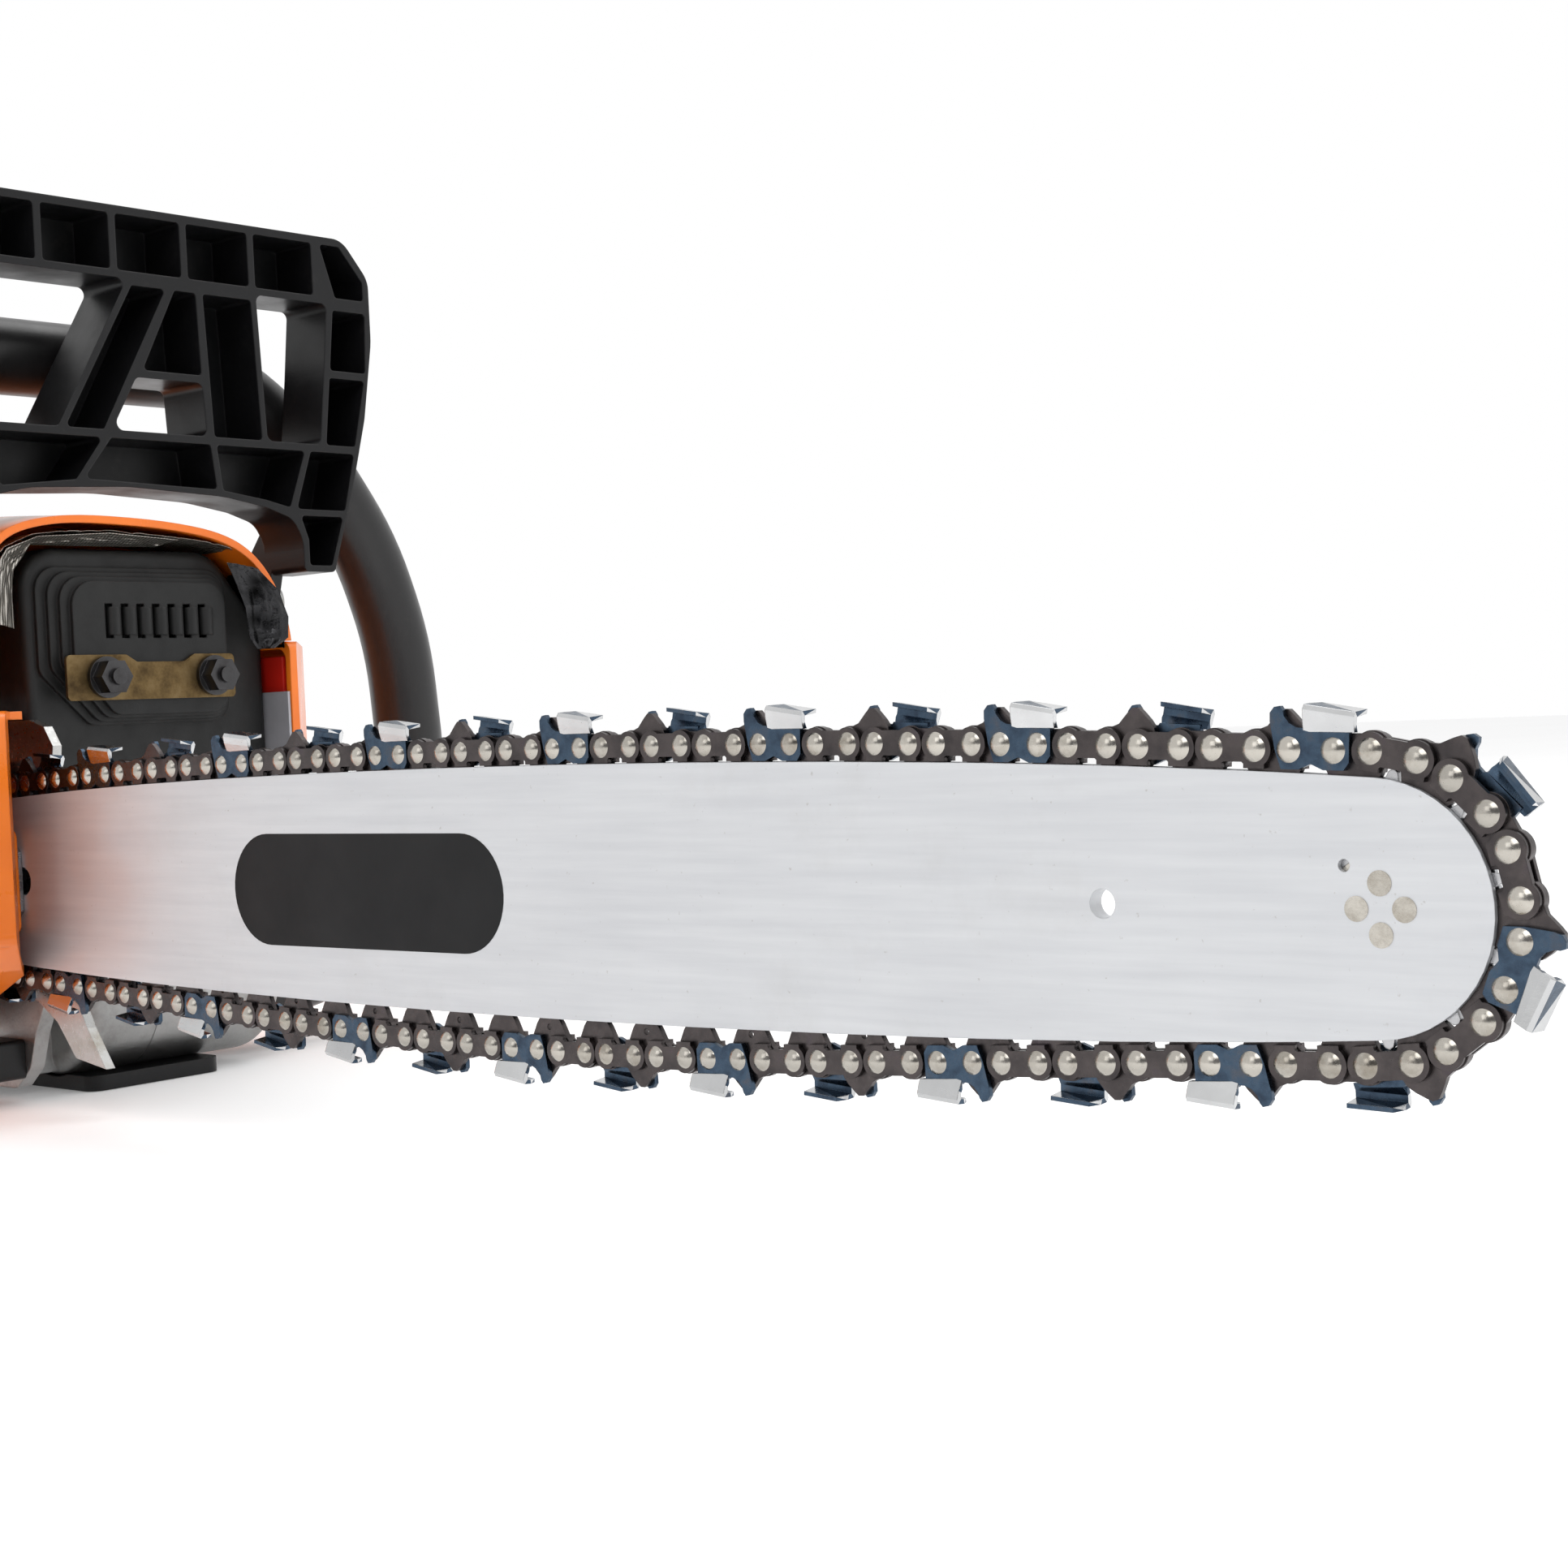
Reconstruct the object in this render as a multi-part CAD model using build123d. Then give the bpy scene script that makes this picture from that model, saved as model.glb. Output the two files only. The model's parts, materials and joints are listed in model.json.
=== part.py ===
"""Petrol chainsaw with a 20 inch bar: powerhead, guide bar, saw chain and handles.

Frame: +X forward along the bar, +Y to the operator's left, +Z up, in millimetres.
The origin lies on the ground, below the crankshaft axis, in the cylinder's mid plane.
"""
from build123d import *
import math
import os

# ------------------------------------------------------------------ driving dimensions
AXIS_Z = 72.0            # crankshaft height above the ground
BORE_R = 22.5            # cylinder bore radius
CRANK_THROW = 16.0       # half of the stroke
ROD_LENGTH = 54.0        # connecting rod, centre to centre
DECK_Z = 110.0           # crankcase top, where the cylinder stands
WALL = 2.5               # moulded shell thickness
GAP = 0.3                # clearance between neighbouring castings and covers

BAR_Y = -57.85           # mid plane of the bar and the chain
BAR_T = 4.3              # bar thickness
BAR_HALF = 30.94         # half of the bar's greatest width
BAR_CROWN_X = 318.2      # where the bar is widest
BAR_CROWN_2 = 9.379e-5   # crown of the rails, square term
BAR_CROWN_5 = 1.98e-12   # crown of the rails, fifth power term
BAR_TAIL_X = 34.0        # back end of the bar
BAR_TAIL_HALF = 17.0     # half width at the back end
TAIL_JOIN_X = 84.0       # where the straight tail flank meets the crowned rail
NOSE_JOIN_X = 555.6      # where the crowned rail meets the nose arc
GROOVE_HALF = 0.85       # half width of the rail groove and the nose slot
GROOVE_DEPTH = 8.2       # rail groove depth
BAR_STUD_X = (56.0, 84.0)
BAR_STUD_R = 4.0
HANG_HOLE = (495.9, 3.0)
LUBE_HOLE = (549.0, 8.0, 1.2)
NOSE_RIVET_X = 556.0
NOSE_RIVET_STEP = 4.78

PITCH = 8.255            # chain pitch, 0.325 inch
DRIVE_SPACING = 7.353    # rivet spacing in a drive link
SIDE_SPACING = 2 * PITCH - DRIVE_SPACING
LINKS = 76               # drive links in the loop
GAUGE_HALF = 0.735       # half of a drive link's thickness
STRAP_IN = 0.82          # inner face of a side link, from the chain's mid plane
STRAP_OUT = 2.05         # outer face of a side link
RIVET_RISE = 3.9         # rivet line above the rail
CHAIN_SAG = 4.0          # how far the slack lower run hangs below its rail
SAG_X = (102.0, 545.0)
FIRST_RIVET_X = 102.0    # rivet number one, on the upper run
DRIVE_TEETH = 7
NOSE_TEETH = 11

DRUM_R = 37.8
SHOE_R = 34.8
SHOE_STEP = 120.0
FLYWHEEL_R = 38.0
PULLEY_R = 26.0
ROPE_R = 1.8
TUBE_R = 12.5
TUBE_X = 60.0
TUBE_LENGTHS = 9

MUFFLER_X = 100.0        # front face of the muffler cover
MUFFLER_RIM_X = 93.0     # front of the cover's broad rim
MUFFLER_STEPS = 4        # steps from the rim up to the raised panel
EXHAUST_Z = 134.0
MUFFLER_BOLT_Y = (-25.2, 15.9)

GUARD_PIVOT = (70.0, 160.0)
GUARD_X = (78.0, 100.0)
GUARD_WEB = 2.6          # rear web of the ribbed hand guard

NODES = {}


# ------------------------------------------------------------------ shape helpers
def box(x0, x1, y0, y1, z0, z1):
    return Pos((x0 + x1) / 2, (y0 + y1) / 2, (z0 + z1) / 2) * Box(x1 - x0, y1 - y0, z1 - z0)


def rod_x(x0, x1, y, z, r):
    return Pos((x0 + x1) / 2, y, z) * Rot(0, 90, 0) * Cylinder(r, x1 - x0)


def rod_y(x, z, r, y0, y1):
    return Pos(x, (y0 + y1) / 2, z) * Rot(90, 0, 0) * Cylinder(r, y1 - y0)


def rod_z(x, y, r, z0, z1):
    return Pos(x, y, (z0 + z1) / 2) * Cylinder(r, z1 - z0)


def ring_y(x, z, r_in, r_out, y0, y1):
    return rod_y(x, z, r_out, y0, y1) - rod_y(x, z, r_in, y0 - 1, y1 + 1)


def slab_x(sketch, x0, x1):
    """A sketch drawn in (Y, Z), extruded along X."""
    plane = Plane(origin=(x0, 0, 0), x_dir=(0, 1, 0), z_dir=(1, 0, 0))
    return extrude(plane * sketch, amount=x1 - x0)


def slab_y(sketch, y0, y1):
    """A sketch drawn in (X, Z), extruded along Y."""
    plane = Plane(origin=(0, y1, 0), x_dir=(1, 0, 0), z_dir=(0, -1, 0))
    return extrude(plane * sketch, amount=y1 - y0)


def slab_z(sketch, z0, z1):
    """A sketch drawn in (X, Y), extruded along Z."""
    return extrude(Pos(0, 0, z0) * sketch, amount=z1 - z0)


def poly(points, radius=0):
    """A closed outline with straight sides, its corners rounded by radius (one or a list)."""
    if not radius:
        return make_face(Polyline(*points, close=True))
    return make_face(FilletPolyline(*points, radius=radius, close=True))


def rect(u0, u1, v0, v1, radius=0):
    if radius:
        return Pos((u0 + u1) / 2, (v0 + v1) / 2) * RectangleRounded(u1 - u0, v1 - v0, radius)
    return Pos((u0 + u1) / 2, (v0 + v1) / 2) * Rectangle(u1 - u0, v1 - v0)


def disc(u, v, r):
    return Pos(u, v) * Circle(r)


def hexagon(u, v, across):
    return Pos(u, v) * RegularPolygon(across / math.sqrt(3), 6)


def solids_of(shape):
    """Every solid of a shape or of a nested list of shapes."""
    if isinstance(shape, (list, tuple)):
        return [solid for item in shape for solid in solids_of(item)]
    return list(shape.solids())


def node(name, *shapes):
    """Add solids to a named node; calls with the same name gather in one node."""
    NODES.setdefault(name, []).extend(solids_of(list(shapes)))


# ------------------------------------------------------------------ the chain's path
def bar_half(x):
    u = x - BAR_CROWN_X
    return BAR_HALF - BAR_CROWN_2 * u * u - BAR_CROWN_5 * abs(u) ** 5


def bar_slope(x):
    return (bar_half(x + 0.5) - bar_half(x - 0.5))


NOSE_HALF = bar_half(NOSE_JOIN_X)
NOSE_X = NOSE_JOIN_X + NOSE_HALF * bar_slope(NOSE_JOIN_X)
NOSE_R = math.hypot(NOSE_HALF, NOSE_X - NOSE_JOIN_X)


def wrap_radius(teeth):
    """Rivet circle of a chain wrapped on a sprocket, whose chords alternate in length."""
    low, high = PITCH, 10 * PITCH
    for _ in range(60):
        r = (low + high) / 2
        turn = 2 * (math.asin(DRIVE_SPACING / (2 * r)) + math.asin(SIDE_SPACING / (2 * r)))
        low, high = (r, high) if turn > 2 * math.pi / teeth else (low, r)
    return r


DRIVE_R = wrap_radius(DRIVE_TEETH)
NOSE_WRAP_R = wrap_radius(NOSE_TEETH)


def upper_hull(shift):
    """The taut upper run over the drive sprocket, the rail and the nose sprocket, as (x, z)."""
    steps = 240
    arc = [math.pi * i / steps for i in range(steps + 1)]
    points = [(DRIVE_R * math.cos(a), DRIVE_R * math.sin(a)) for a in arc]
    points += [(shift + NOSE_X + NOSE_WRAP_R * math.cos(a), NOSE_WRAP_R * math.sin(a)) for a in arc]
    rail = [TAIL_JOIN_X + (NOSE_JOIN_X - TAIL_JOIN_X) * i / steps for i in range(steps + 1)]
    points += [(shift + x, bar_half(x) + RIVET_RISE) for x in rail]
    hull = []
    for point in sorted(points):
        while len(hull) > 1:
            (ax, az), (bx, bz) = hull[-2], hull[-1]
            if (bx - ax) * (point[1] - az) - (bz - az) * (point[0] - ax) < 0:
                break
            hull.pop()
        hull.append(point)
    return hull


def sag(x):
    share = (x - SAG_X[0]) / (SAG_X[1] - SAG_X[0])
    return CHAIN_SAG * math.sin(math.pi * share) ** 2 if 0 < share < 1 else 0.0


def walk(path, chords):
    """Points reached by stepping straight distances along a closed path, and the overshoot."""
    point, index, t, reached = path[0], 0, 0.0, [path[0]]
    for chord in chords:
        while math.dist(point, path[(index + 1) % len(path)]) < chord:
            index += 1
        a, b = path[index % len(path)], path[(index + 1) % len(path)]
        low, high = 0.0, 1.0
        for _ in range(36):
            t = (low + high) / 2
            at = (a[0] + (b[0] - a[0]) * t, a[1] + (b[1] - a[1]) * t)
            low, high = (t, high) if math.dist(point, at) < chord else (low, t)
        point = at
        reached.append(point)
    return reached, index + t - len(path)


def loop_path(shift):
    """The closed rivet line of the chain, starting at rivet number one, for a shifted bar."""
    hull = upper_hull(shift)
    first_x = FIRST_RIVET_X + shift
    upper = [hull[-1]]
    for (ax, az), (bx, bz) in zip(hull, hull[1:]):
        parts = max(1, int(math.dist((ax, az), (bx, bz)) / 2))
        upper += [(ax + (bx - ax) * i / parts, az + (bz - az) * i / parts) for i in range(parts)]
        if ax < first_x < bx:
            first = (first_x, az + (bz - az) * (first_x - ax) / (bx - ax))
            upper.append(first)
    upper.sort()
    start = upper.index(first)
    lower = [(x, -z - sag(x - shift)) for x, z in reversed(upper)][1:-1]
    path = upper + lower
    return path[start:] + path[:start]


def tensioned_rivets():
    """Move the bar until the loop closes exactly; returns the shift and the rivets."""
    low, high = -9.0, 9.0
    chords = [DRIVE_SPACING, SIDE_SPACING] * LINKS
    for _ in range(36):
        shift = (low + high) / 2
        rivets, overshoot = walk(loop_path(shift), chords)
        low, high = (shift, high) if overshoot > 0 else (low, shift)
    return shift, rivets[:-1]


SHIFT, RIVETS = tensioned_rivets()


# ------------------------------------------------------------------ guide bar
def bar_outline(inset=0.0):
    """Outline of the bar, or of the same shape drawn in by inset, in (x, z) about its axis."""
    count = 9
    xs = [TAIL_JOIN_X + (NOSE_JOIN_X - TAIL_JOIN_X) * i / count for i in range(count + 1)]
    rail = [(SHIFT + x, bar_half(x) - inset) for x in xs]
    tail_x = SHIFT + BAR_TAIL_X + inset
    tail = (tail_x, BAR_TAIL_HALF - inset)
    tip = (SHIFT + NOSE_X + NOSE_R - inset, 0)
    under = [(x, -z) for x, z in rail]
    edges = [
        Spline(*rail),
        ThreePointArc(rail[-1], tip, under[-1]),
        Spline(*under),
        Line(under[0], (tail[0], -tail[1])),
        Line((tail[0], -tail[1]), tail),
        Line(tail, rail[0]),
    ]
    return make_face(edges)


def bar_slab(sketch, y0, y1):
    return Pos(0, 0, AXIS_Z) * slab_y(sketch, y0, y1)


def guide_bar():
    y0, y1 = BAR_Y - BAR_T / 2, BAR_Y + BAR_T / 2
    bar = bar_slab(bar_outline(), y0, y1)
    groove = bar_outline() - bar_outline(GROOVE_DEPTH)
    bar -= bar_slab(groove, BAR_Y - GROOVE_HALF, BAR_Y + GROOVE_HALF)
    nose_slot = disc(SHIFT + NOSE_X, 0, NOSE_R + 3)
    bar -= bar_slab(nose_slot, BAR_Y - GROOVE_HALF, BAR_Y + GROOVE_HALF)
    slot = Pos(SHIFT + 76, 0) * SlotOverall(68, 2 * BAR_STUD_R + 0.8)
    holes = slot + disc(SHIFT + HANG_HOLE[0], 0, HANG_HOLE[1])
    holes += disc(SHIFT + LUBE_HOLE[0], LUBE_HOLE[1], LUBE_HOLE[2])
    for side in (-1, 1):
        holes += disc(SHIFT + 62, side * 12.0, 2.6) + disc(SHIFT + 96, side * 13.0, 1.8)
    for u, v in nose_rivet_places():
        holes += disc(u, v, 1.75)
    bar -= bar_slab(holes, y0 - 1, y1 + 1)
    node("guide_bar", bar)


def nose_rivet_places():
    centre = SHIFT + NOSE_RIVET_X
    step = NOSE_RIVET_STEP
    return [(centre + step, 0), (centre - step, 0), (centre, step), (centre, -step)]


def nose_parts():
    """The star sprocket at the nose, its bearing race, and the four rivets through it."""
    x = SHIFT + NOSE_X
    half = GROOVE_HALF - 0.1
    race_r = 9.4
    star = disc(x, 0, 19.0)
    for i in range(NOSE_TEETH):
        star += Pos(x, 0) * Rot(0, 0, nose_phase() + i * 360 / NOSE_TEETH) * nose_tooth()
    star -= disc(x, 0, race_r + 0.05)
    node("nose_sprocket", bar_slab(star, BAR_Y - half, BAR_Y + half))
    race = disc(x, 0, race_r)
    rivets = []
    head_r, head_t = 2.4, 0.12
    for u, v in nose_rivet_places():
        race -= disc(u, v, 1.75)
        rivets.append(rod_y(u, AXIS_Z + v, 1.7, BAR_Y - BAR_T / 2 - head_t, BAR_Y + BAR_T / 2 + head_t))
        for y0, y1 in ((-BAR_T / 2 - head_t, -BAR_T / 2), (BAR_T / 2, BAR_T / 2 + head_t)):
            rivets[-1] += rod_y(u, AXIS_Z + v, head_r, BAR_Y + y0, BAR_Y + y1)
    node("nose_rivets", bar_slab(race, BAR_Y - half, BAR_Y + half))
    node("nose_rivets", rivets)


def nose_phase():
    """Angle of the gap between two drive tangs on the nose, in degrees."""
    return gap_angle(SHIFT + NOSE_X, NOSE_WRAP_R)


def gap_angle(x, wrap_r):
    """Direction from a sprocket's axis to the middle of the side link nearest its outer side."""
    best = None
    for m in range(1, LINKS + 1):
        p, q = side_rivets(m)
        mid = ((p[0] + q[0]) / 2 - x, (p[1] + q[1]) / 2)
        on_arc = abs(math.hypot(*mid) - wrap_r) < 0.9
        if on_arc and (best is None or abs(mid[1]) < abs(best[1])):
            best = mid
    return math.degrees(math.atan2(best[1], best[0]))


def nose_tooth():
    return poly([(17.5, -3.4), (25.6, -0.9), (26.2, 0), (25.6, 0.9), (17.5, 3.4)])


# ------------------------------------------------------------------ saw chain
def side_rivets(m):
    return RIVETS[(2 * m - 1) % len(RIVETS)], RIVETS[2 * m % len(RIVETS)]


def drive_rivets(m):
    return RIVETS[2 * m - 2], RIVETS[2 * m - 1]


def link_place(p, q):
    """Link frame: x from p to q, z away from the bar, y across the chain."""
    length = math.dist(p, q)
    ux, uz = (q[0] - p[0]) / length, (q[1] - p[1]) / length
    origin = (p[0], BAR_Y, AXIS_Z + p[1])
    return Plane(origin=origin, x_dir=(ux, 0, uz), z_dir=(-uz, 0, ux)).location


def drive_link(hump):
    """Drive link with its triangular tang; with a hump and an oil hole ahead of a cutter."""
    s = DRIVE_SPACING
    mid = s / 2
    flat = disc(0, 0, 3.85) + disc(s, 0, 3.85) + rect(0, s, -3.85, 3.2)
    tang = poly([(mid - 6.6, -2.0), (mid - 4.3, -6.4), (mid - 2.2, -9.3),
                 (mid + 2.0, -9.3), (mid + 4.3, -6.4), (mid + 6.6, -2.0)])
    flat += tang
    if hump:
        flat += poly([(-1.4, 3.0), (2.3, 4.4), (4.3, 6.6), (5.4, 7.6), (6.7, 7.6),
                      (7.7, 6.7), (9.2, 5.2), (10.4, 3.6), (10.9, 1.6), (0, 0)])
        flat -= disc(mid, -5.6, 0.75)
    flat -= disc(0, 0, 2.0) + disc(s, 0, 2.0)
    return slab_y(flat, -GAUGE_HALF, GAUGE_HALF)


def strap_sketch():
    """Side link outline: two rounded ears on flat feet, with a waist between them."""
    s = SIDE_SPACING
    flat = rect(0, s, -2.5, 2.9)
    for x in (0, s):
        flat += disc(x, 0, 3.6) + rect(x - 2.2, x + 2.2, -3.7, 0)
    return flat


def strap_holes(r):
    return disc(0, 0, r) + disc(SIDE_SPACING, 0, r)


def tie_strap():
    return slab_y(strap_sketch() - strap_holes(1.6), STRAP_IN, STRAP_OUT)


def cutter():
    """Cutter for the +Y side: depth gauge over the first rivet, chisel over the second."""
    s = SIDE_SPACING
    gauge = poly([(-2.9, 0), (-3.9, 5.2), (-3.9, 6.9), (-3.0, 8.0), (-1.8, 8.2), (-1.2, 7.4),
                  (-0.9, 6.2), (0.2, 4.9), (1.6, 4.2), (3.0, 4.1), (3.4, 4.6), (12.5, 4.3),
                  (12.4, -2.2), (11.3, -3.7), (s - 2, -3.7), (s / 2, -2.6), (2, -3.7), (-1.6, -3.7)])
    plate = slab_y(gauge - strap_holes(1.6), STRAP_IN, STRAP_OUT)
    section = poly([(STRAP_IN, 3.6), (STRAP_OUT, 3.6), (3.0, 5.9), (3.5, 7.8), (3.0, 8.7),
                    (-1.6, 9.1), (-1.6, 8.2), (2.1, 7.7), (2.0, 6.3), (STRAP_IN, 4.4)])
    chisel = Pos(2.6, 0, 0) * Rot(0, 7.5, 0) * slab_x(section, 0, 10.6)
    chisel &= box(-5, 20, -4, 4, 3.4, 12)
    lead = Pos(2.3, 3.6, 6) * Rot(0, 0, 28) * Pos(-6, 0, 0) * Box(12, 24, 12)
    return plate + (chisel - lead)


def rivet():
    """One rivet with a low domed head on each side, flush-fitted between the links."""
    body = rod_y(0, 0, 1.55, -STRAP_OUT, STRAP_OUT)
    dome_r, rise = 2.5, 1.15
    ball_r = (dome_r ** 2 + rise ** 2) / (2 * rise)
    for side in (-1, 1):
        ball = Pos(0, side * (STRAP_OUT + rise - ball_r), 0) * Sphere(ball_r)
        far = side * (STRAP_OUT + 3)
        body += ball & box(-3, 3, min(side * STRAP_OUT, far), max(side * STRAP_OUT, far), -3, 3)
    return body


def saw_chain():
    plain, humped, straps, left, right = [], [], [], [], []
    plain_link, humped_link = drive_link(False), drive_link(True)
    strap, cutting = tie_strap(), cutter()
    near_strap, near_cutting = mirror(strap, Plane.XZ), mirror(cutting, Plane.XZ)
    for m in range(1, LINKS + 1):
        place = link_place(*drive_rivets(m))
        (humped if m % 2 else plain).append(place * (humped_link if m % 2 else plain_link))
        place = link_place(*side_rivets(m))
        near_cut, far_cut = m % 4 == 3, m % 4 == 1
        (right if near_cut else straps).append(place * (near_cutting if near_cut else near_strap))
        (left if far_cut else straps).append(place * (cutting if far_cut else strap))
    node("drive_links", plain)
    node("drive_links", humped)
    node("tie_straps", straps)
    node("cutters", left)
    node("cutters", right)
    one = rivet()
    node("chain_rivets", [Pos(x, BAR_Y, AXIS_Z + z) * one for x, z in RIVETS])


# ------------------------------------------------------------------ clutch and drive
def drive_sprocket():
    """Clutch drum with its rim sprocket, which free-wheels on a needle bearing."""
    tooth = poly([(8.2, -1.3), (13.8, -0.3), (13.8, 0.3), (8.2, 1.3)])
    teeth = disc(0, 0, 8.6)
    phase = gap_angle(0, DRIVE_R)
    for i in range(DRIVE_TEETH):
        teeth += Rot(0, 0, phase + i * 360 / DRIVE_TEETH) * tooth
    bore = 6.95
    drum = bar_slab(teeth, BAR_Y - 1, BAR_Y + 1)
    drum += ring_y(0, AXIS_Z, 6, 14.2, BAR_Y - 4.4, BAR_Y - 0.95)
    drum += ring_y(0, AXIS_Z, 6, 14.2, BAR_Y + 0.95, BAR_Y + 3.4)
    drum += rod_y(0, AXIS_Z, DRUM_R, -66, -63.9)
    drum += rod_y(0, AXIS_Z, 11, -64, BAR_Y - 4)
    drum += ring_y(0, AXIS_Z, DRUM_R - 2, DRUM_R, -84, -65)
    drum -= rod_y(0, AXIS_Z, bore, -90, -40)
    node("clutch_drum_sprocket", drum)
    node("crank_bearings", ring_y(0, AXIS_Z, 5.05, bore - 0.03, -65.5, -54.5))
    worm = ring_y(0, AXIS_Z, 6.1, 9.2, -50.5, -44.4)
    node("oil_pump", worm)


def clutch():
    """Three shoes on a hub that is screwed to the crankshaft, held in by a garter spring."""
    hub = ring_y(0, AXIS_Z, 5, 13, -83, -67)
    for i in range(3):
        arm = Rot(0, 0, 90 + i * SHOE_STEP) * rect(12, 26, -3.5, 3.5)
        hub += bar_slab(arm, -80, -70)
    hub -= rod_y(0, AXIS_Z, 5, -90, -60) + ring_y(0, AXIS_Z, 19.5, 23.5, -83, -77.5)
    node("clutch_hub", hub)
    ring = disc(0, 0, SHOE_R) - disc(0, 0, 15.5)
    half_angle = math.radians(56)
    far = 60
    wedge = poly([(0, 0), (far * math.cos(half_angle), far * math.sin(half_angle)), (far, 0),
                  (far * math.cos(half_angle), -far * math.sin(half_angle))])
    shoe = (ring & wedge) - rect(0, 27.5, -4.0, 4.0)
    for i in range(3):
        flat = Rot(0, 0, 90 + i * SHOE_STEP) * shoe
        solid = bar_slab(flat, -81, -69)
        solid -= ring_y(0, AXIS_Z, 19.5, 23.5, -83, -77.5)
        node("clutch_shoes", solid)
    node("clutch_shoes", Pos(0, -79.4, AXIS_Z) * Rot(90, 0, 0) * Torus(21.5, 1.6))


# ------------------------------------------------------------------ crankcase and engine
CHAMBER_R = 35.5
CASE_R = 41.0
BARREL = (58.0, 31.0, 27.0)          # oil tank barrel: x, z and outer radius
OIL_CAP = (66.0, 41.0, 10.0)         # x, z and neck radius
FLANGE_Y = (-50.0, -45.0)
SHAFT_R = 7.5
BEARING_R = 17.5


def bearing_bore():
    return rod_y(0, AXIS_Z, BEARING_R + 0.02, -27.5, 27.5) + rod_y(0, AXIS_Z, SHAFT_R + 1.5, -70, 70)


def case_half(y_mid, y_out, barrel_out):
    """One half of the crankcase, from the split face y_mid to its outer face y_out."""
    y0, y1 = min(y_mid, y_out), max(y_mid, y_out)
    b0, b1 = min(y_mid, barrel_out), max(y_mid, barrel_out)
    x, z, r = BARREL
    half = rod_y(0, AXIS_Z, CASE_R, y0, y1)
    half += box(-36, 36, y0, y1, 84, DECK_Z)
    half += box(-38, 62, y0, y1, 6, 60)
    barrel = rod_y(x, z, r, b0, b1)
    ends = [e for e in barrel.edges().filter_by(GeomType.CIRCLE) if abs(e.center().Y - barrel_out) < 1]
    half += fillet(ends, 7)
    half -= box(-60, 60, -60, 60, DECK_Z, 130)
    half -= rod_y(0, AXIS_Z, CHAMBER_R, -14.6, 14.6)
    half -= rod_z(0, 0, 28.4, 95, DECK_Z + 1)
    half -= bearing_bore()
    return half


def tank_cavity(y0, y1):
    x, z, r = BARREL
    return rod_y(x, z, r - 4, y0, y1)


def crankcase():
    right = case_half(-0.1, -38.0, -27.0)
    flange = poly([(-42, 108), (56, 108), (64, 95), (93, 95), (96, 60), (97, 34), (90.5, 23), (86.5, 12),
                   (78, 5), (-36, 5), (-46, 30)], 5)
    right += slab_y(flange, *FLANGE_Y)
    right += box(-36, 56, -46, -37, 8, 106)
    right += box(60, 92, -46, -36, 52, 95)
    right += box(42, 100, -54.4, -49, 56, 88)
    right -= tank_cavity(-22, 1)
    right -= rod_y(0, AXIS_Z, 12, -56, -37)
    for x in BAR_STUD_X:
        right -= rod_y(SHIFT + x, AXIS_Z, BAR_STUD_R, -56, -40)
    right -= box(14, 32, -51, -42, 62, 82)
    node("crankcase_clutch_half", right)
    left = case_half(0.1, 37.0, 52.0) + rod_y(44, 20, 14, 30, 52)
    left -= tank_cavity(-1, 46)
    x, z, r = OIL_CAP
    left += rod_y(x, z, r + 2.5, 45, 55)
    left -= rod_y(x, z, r, 40, 56)
    node("crankcase_starter_half", left)
    screws = []
    for sx, sz in ((-44, 44), (30, 14), (-30, 14), (84, 91.5), (84, 44), (44, 100)):
        screws.append(rod_y(sx if sx > -40 else -38, sz, 3.2, -52.6, -50.02))
    node("socket_screws", screws)
    x, z, r = OIL_CAP
    cap = rod_y(x, z, r + 3.2, 55.1, 59) + rod_y(x, z, r - 0.12, 47, 55.2)
    cap += box(x - 2, x + 2, 58, 63, z - r + 1, z + r - 1)
    node("oil_cap", cap)
    node("oil_pump", box(14.2, 31.8, -50.6, -42.3, 62.2, 81.8))
    studs = [rod_y(SHIFT + x, AXIS_Z, BAR_STUD_R - 0.03, -80, -40) for x in BAR_STUD_X]
    node("bar_studs_and_nuts", studs)


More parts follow.
